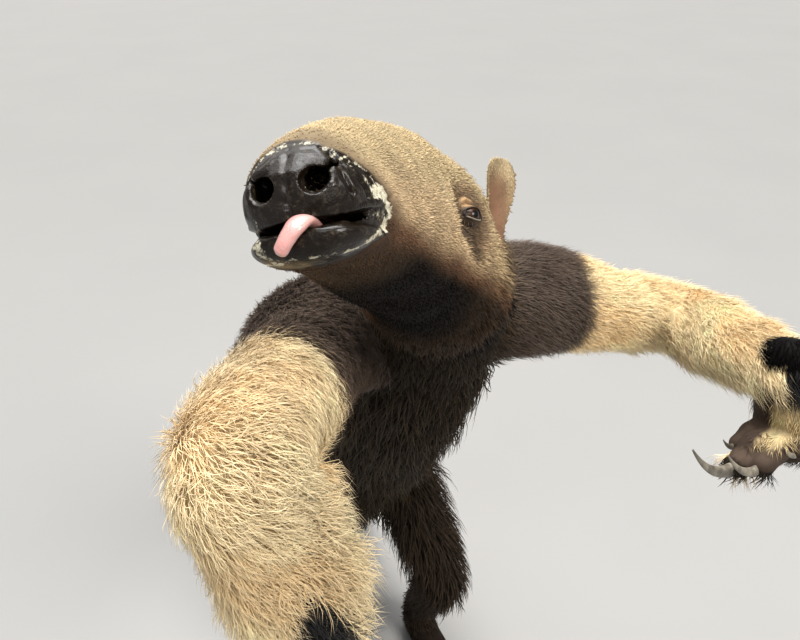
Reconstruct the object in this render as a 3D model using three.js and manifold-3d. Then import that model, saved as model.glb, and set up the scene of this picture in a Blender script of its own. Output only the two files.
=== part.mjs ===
// A giant anteater standing on its hind feet and tail, arms raised and head turned to its right, life-size.
// Millimetres, +Z up. The animal faces -Y with its left side at +X, and the floor is at Z = 0.
import * as THREE from "three";
import { mergeVertices } from "three/addons/utils/BufferGeometryUtils.js";
import Module from "manifold-3d";

const wasm = await Module();
wasm.setup();

// Driving dimensions
const GAP = 0.3; // between touching pieces
const OVERREACH = 0.02; // kept between a grown piece and its neighbour's own cut
const MIDLINE = 226; // X of the trunk's middle plane
const NOSE_TIP = [44, 264, 1204];
const HEAD_TURN = 34.2; // degrees to the animal's right
const HEAD_RAISE = 31.6; // degrees above level
const HEAD_TILT = 17.3; // degrees, left side up
const EYE_RADIUS = 9;
const EYE_AT = [226, 45, 17]; // back from the nose tip, out to the side, up
const EAR_AT = [292, 57, 8];
const EAR_LENGTH = 68;
const BROW_LEAN = 48; // degrees up from the side
const BROW_SPREAD = 26;
const NOSTRIL_AT = [0, 11.4, 6];
const NOSTRIL_RADIUS = 5;
const MOUTH_GAPE = 1.6; // between the lips
const TONGUE_LEAN = 1.6; // to the animal's right, at each station
const SHOULDER_LEFT = [343, 572, 930];
const ELBOW_LEFT = [551, 571, 864];
const WRIST_LEFT = [521, 385, 919];
const SHOULDER_RIGHT = [108, 552, 940];
const ELBOW_RIGHT = [11, 340, 1004];
const WRIST_RIGHT = [38, 316, 831];
const SHOULDER_CUT = { left: 0.2, right: 0.27 }; // where the dark coat ends, as a share of the arm's line
const ELBOW_CUT = 3 / 7;
const WRIST_CUT = 6 / 7;
const KNEE_CUT = 3 / 7;
const ANKLE_CUT = 5.3 / 7;
const CLAW_HOOK = 0.62; // rise of a claw's tip, to its length
const KNEE = [108, 752, 262]; // X is measured out from the midline
const ANKLE = [102, 815, 108];
const HEEL = [100, 846, 26];
const TOES = [108, 712, 17];
const SEED = 7;

const vec = (a) => new THREE.Vector3(...a);
const mix = (a, b, t) => a + (b - a) * t;
const between = (a, b, t) => vec(a).lerp(vec(b), t).toArray();
const UP = new THREE.Vector3(0, 0, 1);
const DOWN = new THREE.Vector3(0, 0, -1);
const LOCK_SIDES = 4;
const LOCK_RINGS = 4;

// A repeatable draw, so that every build gives the same coat.
let drawn = SEED;
function draw(low, high) {
  drawn = (drawn * 16807) % 2147483647;
  return mix(low, high, drawn / 2147483647);
}

// Materials
const colours = {
  muzzle: 0x1b1a1a,
  face: 0x7d6547,
  dark: 0x30271f,
  cream: 0xcdb58a,
  horn: 0x5e574c,
  tongue: 0xc78f8c,
  eye: 0x1a100b,
};
const finishes = {};
for (const [name, color] of Object.entries(colours)) {
  const wet = name === "muzzle" || name === "eye" || name === "tongue";
  const roughness = wet ? 0.25 : 0.85;
  finishes[name] = new THREE.MeshStandardMaterial({ name, color, roughness, metalness: 0 });
}

// A closed mesh as a solid that can be joined and cut.
function solid(geometry) {
  const bare = new THREE.BufferGeometry();
  bare.setAttribute("position", geometry.getAttribute("position"));
  bare.setIndex(geometry.index);
  const merged = mergeVertices(bare, 1e-3);
  const vertProperties = new Float32Array(merged.attributes.position.array);
  const corners = new Uint32Array(merged.index.array);
  const made = new wasm.Manifold(new wasm.Mesh({ numProp: 3, vertProperties, triVerts: corners }));
  if (made.volume() > 0) return made;
  for (let i = 0; i < corners.length; i += 3) {
    [corners[i + 1], corners[i + 2]] = [corners[i + 2], corners[i + 1]];
  }
  return new wasm.Manifold(new wasm.Mesh({ numProp: 3, vertProperties, triVerts: corners }));
}

const join = (pieces) => wasm.Manifold.union(pieces);

// The side of a plane that its normal points to, from a little way past the plane.
function beyond(whole, normal, point, past) {
  const n = normal.clone().normalize();
  return whole.trimByPlane(n.toArray(), n.dot(point) + past);
}

const aboveFloor = (whole) => whole.trimByPlane([0, 0, 1], 0);

function largest(whole) {
  const bodies = whole.decompose();
  return bodies.reduce((best, body) => (body.volume() > best.volume() ? body : best));
}

// A limb is a sphere's mesh drawn out along a curve. Each station is [x, y, z, side, top, bottom].
class Limb {
  constructor(stations, upright, brows = [0, 0]) {
    this.brows = brows; // how far each station bulges between its side and its top, as a share
    this.line = new THREE.CatmullRomCurve3(stations.map((s) => vec(s.slice(0, 3))), false, "catmullrom");
    this.size = new THREE.CatmullRomCurve3(stations.map((s) => vec(s.slice(3))), false, "catmullrom");
    this.upright = upright;
  }

  // The centre, the way along, out to the side and up, and the three radii at t from 0 to 1.
  frame(t) {
    const along = this.line.getTangent(t);
    const side = along.clone().cross(this.upright).normalize();
    const up = side.clone().cross(along);
    return { centre: this.line.getPoint(t), along, side, up, size: this.size.getPoint(t) };
  }

  // The bulge between side and top, at its fullest at BROW_LEAN from the side.
  bulge(t, angle) {
    const spot = Math.min(t, 0.9999) * (this.brows.length - 1);
    const low = Math.floor(spot);
    const share = THREE.MathUtils.lerp(this.brows[low], this.brows[low + 1], spot - low);
    const lean = THREE.MathUtils.radToDeg(Math.atan2(Math.sin(angle), Math.abs(Math.cos(angle))));
    return 1 + share * Math.exp(-(((lean - BROW_LEAN) / BROW_SPREAD) ** 2));
  }

  // A point of the surface, with its normal, at an angle from the side towards the top.
  skin(t, angle, grow = 0) {
    const f = this.frame(t);
    f.size.multiplyScalar(this.bulge(t, angle));
    const height = Math.sin(angle) > 0 ? f.size.y : f.size.z;
    const out = f.side.clone().multiplyScalar(Math.cos(angle) * (f.size.x + grow));
    out.addScaledVector(f.up, Math.sin(angle) * (height + grow));
    const normal = f.side.clone().multiplyScalar(Math.cos(angle) / f.size.x);
    normal.addScaledVector(f.up, Math.sin(angle) / height).normalize();
    return { at: f.centre.clone().add(out), normal, along: f.along, up: f.up };
  }

  mesh(sides, rings, grow = 0) {
    const ball = new THREE.SphereGeometry(1, sides, rings);
    const place = ball.getAttribute("position");
    for (let i = 0; i < place.count; i++) {
      const row = Math.floor(i / (sides + 1));
      const turn = ((i % (sides + 1)) % sides) * ((2 * Math.PI) / sides);
      const t = row / rings;
      const pole = row === 0 || row === rings;
      const p = pole ? this.frame(t).centre : this.skin(t, turn, grow).at;
      if (pole) p.addScaledVector(this.frame(t).along, row === 0 ? -grow : grow);
      place.setXYZ(i, p.x, p.y, p.z);
    }
    return solid(ball);
  }
}

// A ball with its own three radii and three axes.
function ball(centre, radii, axes, sides = 12, rings = 8) {
  const made = new THREE.SphereGeometry(1, sides, rings);
  const m = new THREE.Matrix4().makeBasis(...axes.map((a, i) => a.clone().multiplyScalar(radii[i])));
  made.applyMatrix4(m.setPosition(centre));
  return solid(made);
}

// A flat tapered lock of hair: its root is sunk in, it lifts off the skin, then lies over and droops.
function lock(at, normal, lie, { length, width, thick, lift, droop, sink }, grow) {
  const root = at.clone().addScaledVector(normal, -sink).addScaledVector(lie, -sink);
  const knee = at.clone().addScaledVector(normal, lift * length).addScaledVector(lie, 0.45 * length);
  const tip = at.clone().addScaledVector(normal, 0.9 * lift * length).addScaledVector(lie, length);
  tip.addScaledVector(DOWN, droop * length);
  const path = new THREE.QuadraticBezierCurve3(root, knee, tip);
  const flat = lie.clone().cross(normal).normalize();
  const made = new THREE.SphereGeometry(1, LOCK_SIDES, LOCK_RINGS);
  const place = made.getAttribute("position");
  for (let i = 0; i < place.count; i++) {
    const u = Math.floor(i / (LOCK_SIDES + 1)) / LOCK_RINGS;
    const turn = ((i % (LOCK_SIDES + 1)) % LOCK_SIDES) * ((2 * Math.PI) / LOCK_SIDES);
    const along = path.getTangent(u);
    const through = along.clone().cross(flat).normalize();
    const p = path.getPoint(u);
    if (u > 0 && u < 1) {
      const wide = (width / 2) * (1 - u ** 2.2) + grow;
      p.addScaledVector(flat, Math.cos(turn) * wide);
      p.addScaledVector(through, Math.sin(turn) * ((thick / 2) * (1 - 0.6 * u) + grow));
    } else if (u === 1) {
      p.addScaledVector(along, 2 * grow);
    }
    place.setXYZ(i, p.x, p.y, p.z);
  }
  return solid(made);
}

// Head axes: forward along the snout, out to the left, and up.
const turn = THREE.MathUtils.degToRad(HEAD_TURN);
const raise = THREE.MathUtils.degToRad(HEAD_RAISE);
const tilt = THREE.MathUtils.degToRad(HEAD_TILT);
const forward = new THREE.Vector3(
  -Math.sin(turn) * Math.cos(raise),
  -Math.cos(turn) * Math.cos(raise),
  Math.sin(raise),
);
const level = new THREE.Vector3(Math.cos(turn), -Math.sin(turn), 0);
const crown = forward.clone().cross(level).normalize();
const headLeft = level.clone().multiplyScalar(Math.cos(tilt)).addScaledVector(crown, Math.sin(tilt));
const headUp = crown.clone().multiplyScalar(Math.cos(tilt)).addScaledVector(level, -Math.sin(tilt));

function inHead(back, left, up) {
  const p = vec(NOSE_TIP).addScaledVector(forward, -back);
  return p.addScaledVector(headLeft, left).addScaledVector(headUp, up);
}

// Stations along the head: [back, rise, side, top, bottom].
const headStations = (rows) => rows.map(([b, r, ...size]) => [...inHead(b, 0, r).toArray(), ...size]);
const skull = new Limb(
  headStations([
    [0, 2, 12, 12, 9],
    [5, 1, 22, 20, 16],
    [16, 0, 27, 27, 20],
    [40, 0, 33.5, 42, 26],
    [84, 1, 41, 58, 36],
    [132, 2, 46, 66, 44],
    [180, 4, 48, 69, 53],
    [225, 5, 49.5, 70, 61],
    [262, 4, 59, 70, 66],
    [300, 0, 64, 69, 70],
    [340, -6, 65, 66, 72],
    [375, -12, 63, 62, 71],
  ]),
  headUp,
  [0, 0, 0, 0, 0.04, 0.08, 0.12, 0.14, 0.12, 0.08, 0.04, 0],
);
const jaw = new Limb(
  headStations([
    [0, -16, 10, 3, 5],
    [5, -17, 21, 5, 9],
    [16, -17, 26.5, 6, 11],
    [34, -16, 30, 6, 11],
    [50, -17, 30, 6, 10],
    [66, -20, 24, 5, 8],
    [78, -22, 14, 4, 5],
  ]),
  headUp,
);
const tongueLine = new Limb(
  headStations([
    [34, -10, 5, 2, 2],
    [14, -9.5, 5.5, 2.4, 2.4],
    [0, -9, 5.5, 2.6, 2.6],
    [-5.5, -13, 5.5, 2.6, 2.6],
    [-6.5, -20, 5.5, 2.6, 2.6],
    [-6.5, -25, 4.5, 2.2, 2.2],
    [-6, -27, 2, 1.2, 1.2],
  ]).map(([x, y, z, ...size], i) => {
    return [...vec([x, y, z]).addScaledVector(headLeft, 5 - TONGUE_LEAN * i).toArray(), ...size];
  }),
  headUp.clone().addScaledVector(forward, 0.6).normalize(),
);

// The trunk from the back of the head to the root of the tail, then the tail down to the floor.
const trunk = new Limb(
  [
    [190, 474, 1048, 54, 56, 62],
    [207, 514, 1010, 64, 70, 76],
    [221, 556, 968, 82, 90, 96],
    [MIDLINE, 600, 922, 96, 104, 108],
    [MIDLINE, 655, 842, 104, 112, 122],
    [MIDLINE, 725, 735, 104, 112, 126],
    [MIDLINE, 795, 628, 98, 106, 120],
    [MIDLINE, 855, 528, 92, 100, 108],
    [MIDLINE, 903, 440, 86, 92, 96],
    [MIDLINE, 948, 362, 70, 74, 78],
    [MIDLINE, 985, 296, 50, 52, 56],
  ],
  new THREE.Vector3(0, 0.7, 0.7),
);
const tail = new Limb(
  [
    [MIDLINE, 955, 345, 56, 56, 56],
    [MIDLINE, 1008, 256, 48, 50, 50],
    [MIDLINE + 1, 1063, 172, 43, 42, 44],
    [MIDLINE + 3, 1135, 98, 39, 36, 40],
    [MIDLINE + 8, 1232, 50, 36, 30, 38],
    [MIDLINE + 16, 1350, 33, 32, 26, 36],
    [MIDLINE + 24, 1470, 27, 27, 22, 30],
    [MIDLINE + 28, 1580, 22, 21, 17, 25],
    [MIDLINE + 27, 1670, 17, 13, 11, 20],
    [MIDLINE + 24, 1720, 13, 5, 5, 15],
  ],
  new THREE.Vector3(0, 0.7, 0.7),
);

// Arms
function armOf(shoulder, elbow, wrist, inside, upright) {
  return new Limb(
    [
      [...between(inside, shoulder, 0.4), 62, 66, 68],
      [...shoulder, 62, 64, 66],
      [...between(shoulder, elbow, 0.5), 48, 49, 50],
      [...elbow, 44, 43, 43],
      [...between(elbow, wrist, 0.3), 45, 42, 42],
      [...between(elbow, wrist, 0.7), 41, 36, 36],
      [...wrist, 33, 29, 29],
      [...between(elbow, wrist, 1.2), 30, 26, 26],
    ],
    upright,
  );
}
const arms = {
  left: armOf(SHOULDER_LEFT, ELBOW_LEFT, WRIST_LEFT, [MIDLINE, 600, 915], UP),
  right: armOf(SHOULDER_RIGHT, ELBOW_RIGHT, WRIST_RIGHT, [MIDLINE, 600, 915], vec([0.3, -1, 0.2])),
};

// Hind legs
const mirrorX = (side, [x, y, z, ...rest]) => [MIDLINE + side * x, y, z, ...rest];
function legOf(side) {
  const rows = [
    [40, 918, 462, 56, 70, 70],
    [72, 888, 412, 60, 78, 80],
    [94, 822, 336, 54, 66, 68],
    [...KNEE, 44, 48, 50],
    [106, 776, 196, 36, 40, 42],
    [...ANKLE, 30, 32, 33],
    [101, 828, 62, 31, 34, 36],
    [101, 832, 28, 26, 30, 30],
  ];
  return new Limb(rows.map((row) => mirrorX(side, row)), new THREE.Vector3(0, -1, 0));
}

function footOf(side) {
  const rows = [
    [HEEL[0], HEEL[1] + 14, HEEL[2], 14, 14, 26],
    [...HEEL, 27, 26, 30],
    [...between(HEEL, TOES, 0.35), 31, 30, 28],
    [...between(HEEL, TOES, 0.7), 35, 24, 22],
    [...TOES, 36, 17, 20],
    [TOES[0] + 1, TOES[1] - 16, TOES[2] - 3, 30, 10, 15],
  ];
  return new Limb(rows.map((row) => mirrorX(side, row)), UP);
}

// Digits: a bent run of flesh from the palm, and a curved horn claw from its end.
function digit(root, tip, radius, upright) {
  return new Limb(
    [
      [...root, radius, radius, radius],
      [...between(root, tip, 0.6), radius * 0.95, radius * 0.95, radius * 0.95],
      [...tip, radius * 0.8, radius * 0.8, radius * 0.8],
    ],
    upright,
  );
}

function clawOf(root, ahead, bend, length, thick) {
  const rows = [-0.12, 0, 0.3, 0.6, 0.85, 1].map((u) => {
    const p = vec(root).addScaledVector(ahead, length * (u - 0.18 * u * u));
    p.addScaledVector(bend, length * CLAW_HOOK * u * u);
    const r = thick * (u < 0.1 ? 0.9 : 1.02 - 0.9 * u);
    return [...p.toArray(), r * 0.62, r, r];
  });
  return new Limb(rows, bend.clone().negate());
}

// Each hand: where the palm ends, which way the fingers point, the palm's way, and the thumb's side.
const hands = {
  left: {
    wrist: WRIST_LEFT,
    down: [0.06, -0.28, -0.96],
    palm: [-0.97, -0.2, 0],
    thumb: [0.15, -0.95, 0.28],
  },
  right: {
    wrist: WRIST_RIGHT,
    down: [0.12, 0.02, -1],
    palm: [0.35, 0.93, 0.06],
    thumb: [0.93, -0.35, 0.1],
  },
};

// Digit: [across to the thumb, flesh radius, claw length, claw thickness, knuckle, reach over the palm]
const handDigits = {
  first: [24, 9, 24, 4.5, 58, 24],
  second: [13, 13, 54, 7, 62, 62],
  third: [-5, 15, 70, 9, 64, 72],
  fourth: [-24, 11, 24, 5, 60, 44],
};
const HAND_LENGTH = 80;

function handFrame(name) {
  const h = hands[name];
  const down = vec(h.down).normalize();
  const palm = vec(h.palm).addScaledVector(down, -vec(h.palm).dot(down)).normalize();
  const across = down.clone().cross(palm).normalize();
  if (across.dot(vec(h.thumb)) < 0) across.negate();
  return { start: vec(h.wrist), down, palm, across };
}

function handPoint(f, along, towardPalm, across) {
  const p = f.start.clone().addScaledVector(f.down, along);
  return p.addScaledVector(f.palm, towardPalm).addScaledVector(f.across, across);
}

function palmOf(name) {
  const f = handFrame(name);
  const rows = [
    [-34, 0, 30, 27, 27],
    [-8, 1, 33, 28, 28],
    [24, 2, 35, 25, 25],
    [56, 4, 33, 22, 22],
    [HAND_LENGTH, 8, 25, 16, 16],
    [HAND_LENGTH + 9, 10, 13, 9, 9],
  ];
  return new Limb(
    rows.map(([along, in_, ...size]) => [...handPoint(f, along, in_, 0).toArray(), ...size]),
    f.palm.clone().negate(),
  );
}

function fingerEnds(name, key) {
  const f = handFrame(name);
  const [across, radius, , , knuckle, reach] = handDigits[key];
  const root = handPoint(f, knuckle - 4, 4, across * 0.8);
  const tip = handPoint(f, knuckle + 10, reach, across);
  return { f, root, tip, radius };
}

function handClaw(name, key) {
  const { f, tip } = fingerEnds(name, key);
  const [, , length, thick] = handDigits[key];
  const ahead = f.palm.clone().addScaledVector(f.down, 0.05).normalize();
  const bend = f.down.clone().negate();
  return clawOf(tip.toArray(), ahead, bend, length, thick);
}

// Toes of a hind foot: [out from the foot's middle, length forward, flesh radius, claw length]
const toes = {
  first: [-27, 0, 9, 17],
  second: [-14, 9, 10.5, 21],
  third: [0, 12, 11, 23],
  fourth: [14, 9, 10.5, 21],
  fifth: [27, 0, 9, 17],
};

function toeOf(side, key) {
  const [out, ahead, radius] = toes[key];
  const x = MIDLINE + side * (TOES[0] + out);
  const root = [mix(MIDLINE + side * TOES[0], x, 0.8), TOES[1] + 18, 16];
  const tip = [x, TOES[1] - 8 - ahead, 10];
  return { limb: digit(root, tip, radius, UP), tip };
}

function toeClaw(side, key) {
  const { tip } = toeOf(side, key);
  const [, , , length] = toes[key];
  const from = [tip[0], tip[1] - 3, tip[2] + 3];
  return clawOf(from, new THREE.Vector3(0, -1, -0.02), DOWN, length, 4.6);
}

// Where the pieces are parted: a plane's point and normal, which points away from the first piece.
const planes = {
  muzzle: [inHead(34, 0, 0), forward.clone().negate()],
  cheek: [inHead(176, 0, 0), forward.clone().negate()],
  nape: [inHead(322, 0, 0), forward.clone().negate()],
  throat: [trunk.frame(0.2).centre, trunk.frame(0.2).along],
  waist: [trunk.frame(0.5).centre, trunk.frame(0.5).along],
  loin: [trunk.frame(0.76).centre, trunk.frame(0.76).along],
  dock: [tail.frame(0.24).centre, tail.frame(0.24).along],
  tailMiddle: [tail.frame(0.44).centre, tail.frame(0.44).along],
  tailEnd: [tail.frame(0.72).centre, tail.frame(0.72).along],
};

// Each side of a plane keeps half the gap, and a grown piece passes over the plane by nearly as much.
const margin = (grow) => (grow > 0 ? OVERREACH - GAP / 2 : GAP / 2);
const before = (whole, name, grow) => {
  const [point, normal] = planes[name];
  return beyond(whole, normal.clone().negate(), point, margin(grow));
};
const after = (whole, name, grow) => {
  const [point, normal] = planes[name];
  return beyond(whole, normal, point, margin(grow));
};

// Pieces of the head
const headSides = [1, -1];
const headAxes = [headLeft, headUp, forward];
const sideName = (side) => (side > 0 ? "left" : "right");

const eyeCentre = (side) => inHead(EYE_AT[0], side * EYE_AT[1], EYE_AT[2]);
const eyeBall = (side, grow) => {
  const r = EYE_RADIUS + grow;
  return ball(eyeCentre(side), [r, r, r], headAxes, 10, 7);
};

function eyelids(side) {
  const ring = new THREE.TorusGeometry(8.4, 3.3, 5, 12).scale(1.12, 0.92, 1);
  const out = headLeft.clone().multiplyScalar(side).addScaledVector(forward, 0.95);
  out.addScaledVector(headUp, 0.05).normalize();
  const along = forward.clone().addScaledVector(out, -forward.dot(out)).normalize();
  const up = out.clone().cross(along).normalize();
  const m = new THREE.Matrix4().makeBasis(along, up, out);
  m.setPosition(eyeCentre(side).addScaledVector(out, 4.6));
  return solid(ring.applyMatrix4(m));
}

function earOf(side, grow) {
  const up = headUp.clone().multiplyScalar(0.93).addScaledVector(forward, -0.26);
  up.addScaledVector(headLeft, side * 0.25).normalize();
  const face = headLeft.clone().multiplyScalar(side * 0.86).addScaledVector(forward, 0.5).normalize();
  face.addScaledVector(up, -face.dot(up)).normalize();
  const wide = up.clone().cross(face).normalize();
  const root = inHead(EAR_AT[0], side * EAR_AT[1], EAR_AT[2]);
  const middle = root.clone().addScaledVector(up, EAR_LENGTH * 0.46);
  const axes = [wide, up, face];
  const shell = ball(middle, [14.5 + grow, EAR_LENGTH * 0.56 + grow, 7.5 + grow], axes, 10, 8);
  const hollow = middle.clone().addScaledVector(face, 6.2).addScaledVector(up, 2.5);
  return shell.subtract(ball(hollow, [10.8 - grow, EAR_LENGTH * 0.44 - grow, 8.6 - grow], axes, 10, 6));
}

function nostrils() {
  return headSides.map((side) => {
    const [back, left, up] = NOSTRIL_AT;
    const across = headLeft.clone().addScaledVector(headUp, side * 0.25).normalize();
    const high = forward.clone().cross(across).normalize();
    const at = inHead(back - 1, side * left, up);
    return ball(at, [NOSTRIL_RADIUS * 1.15, NOSTRIL_RADIUS, 12], [across, high, forward], 8, 6);
  });
}

// Rows of locks over a stretch of a limb: from and to run along it, and arc is in degrees round it.
function rowsOfLocks(limb, { from, to, arc, rows, across, comb, ...size }, grow) {
  const locks = [];
  for (let i = 0; i < rows; i++) {
    for (let j = 0; j < across; j++) {
      const step = (to - from) / rows;
      const t = from + step * (i + 0.5 + draw(-0.15, 0.15));
      const turn = mix(arc[0], arc[1], (j + 0.25 + 0.5 * (i % 2)) / across) + draw(-4, 4);
      const point = limb.skin(t, THREE.MathUtils.degToRad(turn));
      const { normal, lie } = comb ? comb(point) : { normal: point.normal, lie: point.along.clone() };
      lie.addScaledVector(normal, -lie.dot(normal)).normalize();
      lie.applyAxisAngle(normal, draw(-0.16, 0.16));
      const length = size.length * draw(0.86, 1.14);
      locks.push(lock(point.at, normal, lie, { ...size, length }, grow));
    }
  }
  return locks;
}

// Hair on the tail's sides fans out flat, away from the tail and backwards.
const fan = ({ normal, along, up }) => ({
  normal: up.clone(),
  lie: normal.clone().multiplyScalar(0.6).addScaledVector(along, 0.8),
});

const bristle = { length: 76, width: 62, thick: 5, lift: 0.18, droop: 0.08, sink: 7 };
const sleeve = { length: 70, width: 62, thick: 5, lift: 0.2, droop: 0.03, sink: 7 };
const flank = { length: 128, width: 70, thick: 6, lift: 0.17, droop: 0.05, sink: 9 };
const mane = { length: 150, width: 62, thick: 7, lift: 0.24, droop: 0.1, sink: 10 };
const breeches = { length: 104, width: 72, thick: 6, lift: 0.2, droop: 0.05, sink: 8 };
const fringe = { length: 225, width: 104, thick: 7, lift: 0.06, droop: 0.14, sink: 14, comb: fan };
const plume = { length: 170, width: 60, thick: 7, lift: 0.17, droop: 0.03, sink: 9 };

const coats = {
  chest: [
    [trunk, { from: 0.24, to: 0.5, arc: [45, 135], rows: 3, across: 3, ...mane }],
    [trunk, { from: 0.4, to: 0.5, arc: [-35, 45], rows: 1, across: 3, ...flank }],
    [trunk, { from: 0.4, to: 0.5, arc: [135, 215], rows: 1, across: 3, ...flank }],
    [trunk, { from: 0.34, to: 0.5, arc: [235, 305], rows: 2, across: 2, ...flank }],
  ],
  abdomen: [
    [trunk, { from: 0.5, to: 0.74, arc: [60, 120], rows: 3, across: 2, ...mane }],
    [trunk, { from: 0.5, to: 0.72, arc: [-70, 60], rows: 3, across: 3, ...flank }],
    [trunk, { from: 0.5, to: 0.72, arc: [120, 250], rows: 3, across: 3, ...flank }],
  ],
  rump: [
    [trunk, { from: 0.78, to: 0.96, arc: [50, 130], rows: 2, across: 3, ...mane }],
    [trunk, { from: 0.78, to: 0.92, arc: [5, 50], rows: 2, across: 1, ...flank }],
    [trunk, { from: 0.78, to: 0.92, arc: [130, 175], rows: 2, across: 1, ...flank }],
  ],
  tail_root: [
    [tail, { from: 0.08, to: 0.24, arc: [-25, 5], rows: 2, across: 1, ...fringe, droop: 0.3 }],
    [tail, { from: 0.08, to: 0.24, arc: [175, 205], rows: 2, across: 1, ...fringe, droop: 0.3 }],
    [tail, { from: 0.06, to: 0.24, arc: [30, 150], rows: 1, across: 2, ...plume }],
  ],
  tail_base: [
    [tail, { from: 0.25, to: 0.44, arc: [-25, 5], rows: 2, across: 1, ...fringe, droop: 0.2 }],
    [tail, { from: 0.25, to: 0.44, arc: [175, 205], rows: 2, across: 1, ...fringe, droop: 0.2 }],
    [tail, { from: 0.24, to: 0.44, arc: [30, 150], rows: 2, across: 2, ...plume }],
  ],
  tail_middle: [
    [tail, { from: 0.45, to: 0.72, arc: [-15, 15], rows: 3, across: 1, ...fringe, droop: 0.08 }],
    [tail, { from: 0.45, to: 0.72, arc: [165, 195], rows: 3, across: 1, ...fringe, droop: 0.08 }],
    [tail, { from: 0.45, to: 0.72, arc: [35, 145], rows: 2, across: 2, ...plume }],
  ],
  tail_end: [
    [tail, { from: 0.73, to: 0.97, arc: [-15, 15], rows: 3, across: 1, ...fringe, droop: 0.04 }],
    [tail, { from: 0.73, to: 0.97, arc: [165, 195], rows: 3, across: 1, ...fringe, droop: 0.04 }],
    [tail, { from: 0.72, to: 0.97, arc: [35, 145], rows: 2, across: 2, ...plume, lift: 0.1, droop: 0.08 }],
  ],
};
for (const name of ["left", "right"]) {
  const start = SHOULDER_CUT[name] + 0.04;
  coats["upper_arm_" + name] = [
    [arms[name], { from: start, to: 0.41, arc: [0, 360], rows: 2, across: 4, ...sleeve }],
  ];
  coats["forearm_" + name] = [
    [arms[name], { from: 0.42, to: 0.8, arc: [0, 360], rows: 4, across: 4, ...bristle }],
  ];
}
for (const side of headSides) {
  const outer = side > 0 ? [100, 290] : [-110, 80];
  const leg = legOf(side);
  coats["thigh_" + sideName(side)] = [
    [leg, { from: 0.1, to: 0.42, arc: outer, rows: 3, across: 3, ...breeches }],
  ];
  coats["shin_" + sideName(side)] = [
    [leg, { from: 0.44, to: 0.68, arc: outer, rows: 2, across: 2, ...breeches, length: 66, width: 52 }],
  ];
}

// A node's pieces, plain and grown by the gap. The grown one cuts the nodes that come after it.
const nodes = [];
function node(name, finish, build) {
  nodes.push({ name, finish, build });
}

// A core with its locks fused on. The draw starts again at each node, so both sizes get the same locks.
function coated(core, name, grow) {
  drawn = SEED + name.length * 31;
  const locks = coats[name].flatMap(([limb, rows]) => rowsOfLocks(limb, rows, grow));
  return aboveFloor(join([core, ...locks]));
}

for (const side of headSides) node("eye_" + sideName(side), "eye", (grow) => eyeBall(side, grow));
node("tongue", "tongue", (grow) => tongueLine.mesh(6, 9, grow));
node("lower_jaw", "muzzle", (grow) => jaw.mesh(12, 7, grow > 0 ? MOUTH_GAPE : 0));
for (const name of ["left", "right"]) {
  for (const key of Object.keys(handDigits)) {
    node("hand_" + name + "_claw_" + key, "horn", (grow) => handClaw(name, key).mesh(5, 5, grow));
  }
}
for (const side of headSides) {
  for (const key of Object.keys(toes)) {
    node("foot_" + sideName(side) + "_claw_" + key, "horn", (grow) => {
      return aboveFloor(toeClaw(side, key).mesh(5, 4, grow));
    });
  }
}

// The head and the trunk as one, which the planes then part.
const trunkMesh = (grow) => trunk.mesh(16, 14, grow);
const headAndTrunk = (grow) => join([skull.mesh(16, 16, grow), trunkMesh(grow)]);
node("muzzle", "muzzle", (grow) => before(headAndTrunk(grow), "muzzle", grow).subtract(join(nostrils())));
node("snout", "face", (grow) => before(after(headAndTrunk(grow), "muzzle", grow), "cheek", grow));
node("head", "face", (grow) => {
  const skullPart = before(after(headAndTrunk(grow), "cheek", grow), "nape", grow);
  return grow > 0 ? skullPart : join([skullPart, ...headSides.map(eyelids)]);
});
for (const side of headSides) node("ear_" + sideName(side), "face", (grow) => earOf(side, grow));
node("neck", "dark", (grow) => before(after(headAndTrunk(grow), "nape", grow), "throat", grow));
node("chest", "dark", (grow) => {
  return coated(before(after(trunkMesh(grow), "throat", grow), "waist", grow), "chest", grow);
});
node("abdomen", "dark", (grow) => {
  return coated(before(after(trunkMesh(grow), "waist", grow), "loin", grow), "abdomen", grow);
});
node("rump", "dark", (grow) => coated(after(trunkMesh(grow), "loin", grow), "rump", grow));

// Arms, parted at the elbow and the wrist.
for (const name of ["left", "right"]) {
  const arm = arms[name];
  const armMesh = (grow) => arm.mesh(10, 12, grow);
  const cuts = { shoulder: SHOULDER_CUT[name], elbow: ELBOW_CUT, wrist: WRIST_CUT };
  for (const [joint, t] of Object.entries(cuts)) {
    planes[joint + "_" + name] = [arm.frame(t).centre, arm.frame(t).along];
  }
  node("shoulder_" + name, "dark", (grow) => before(armMesh(grow), "shoulder_" + name, grow));
  node("upper_arm_" + name, "cream", (grow) => {
    const stretch = before(after(armMesh(grow), "shoulder_" + name, grow), "elbow_" + name, grow);
    return coated(stretch, "upper_arm_" + name, grow);
  });
  node("forearm_" + name, "cream", (grow) => {
    const stretch = before(after(armMesh(grow), "elbow_" + name, grow), "wrist_" + name, grow);
    return coated(stretch, "forearm_" + name, grow);
  });
  node("hand_" + name, "dark", (grow) => {
    const fingers = Object.keys(handDigits).map((key) => {
      const { f, root, tip, radius } = fingerEnds(name, key);
      return digit(root.toArray(), tip.toArray(), radius, f.down).mesh(5, 4, grow);
    });
    return join([palmOf(name).mesh(8, 7, grow), ...fingers]);
  });
}

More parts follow.
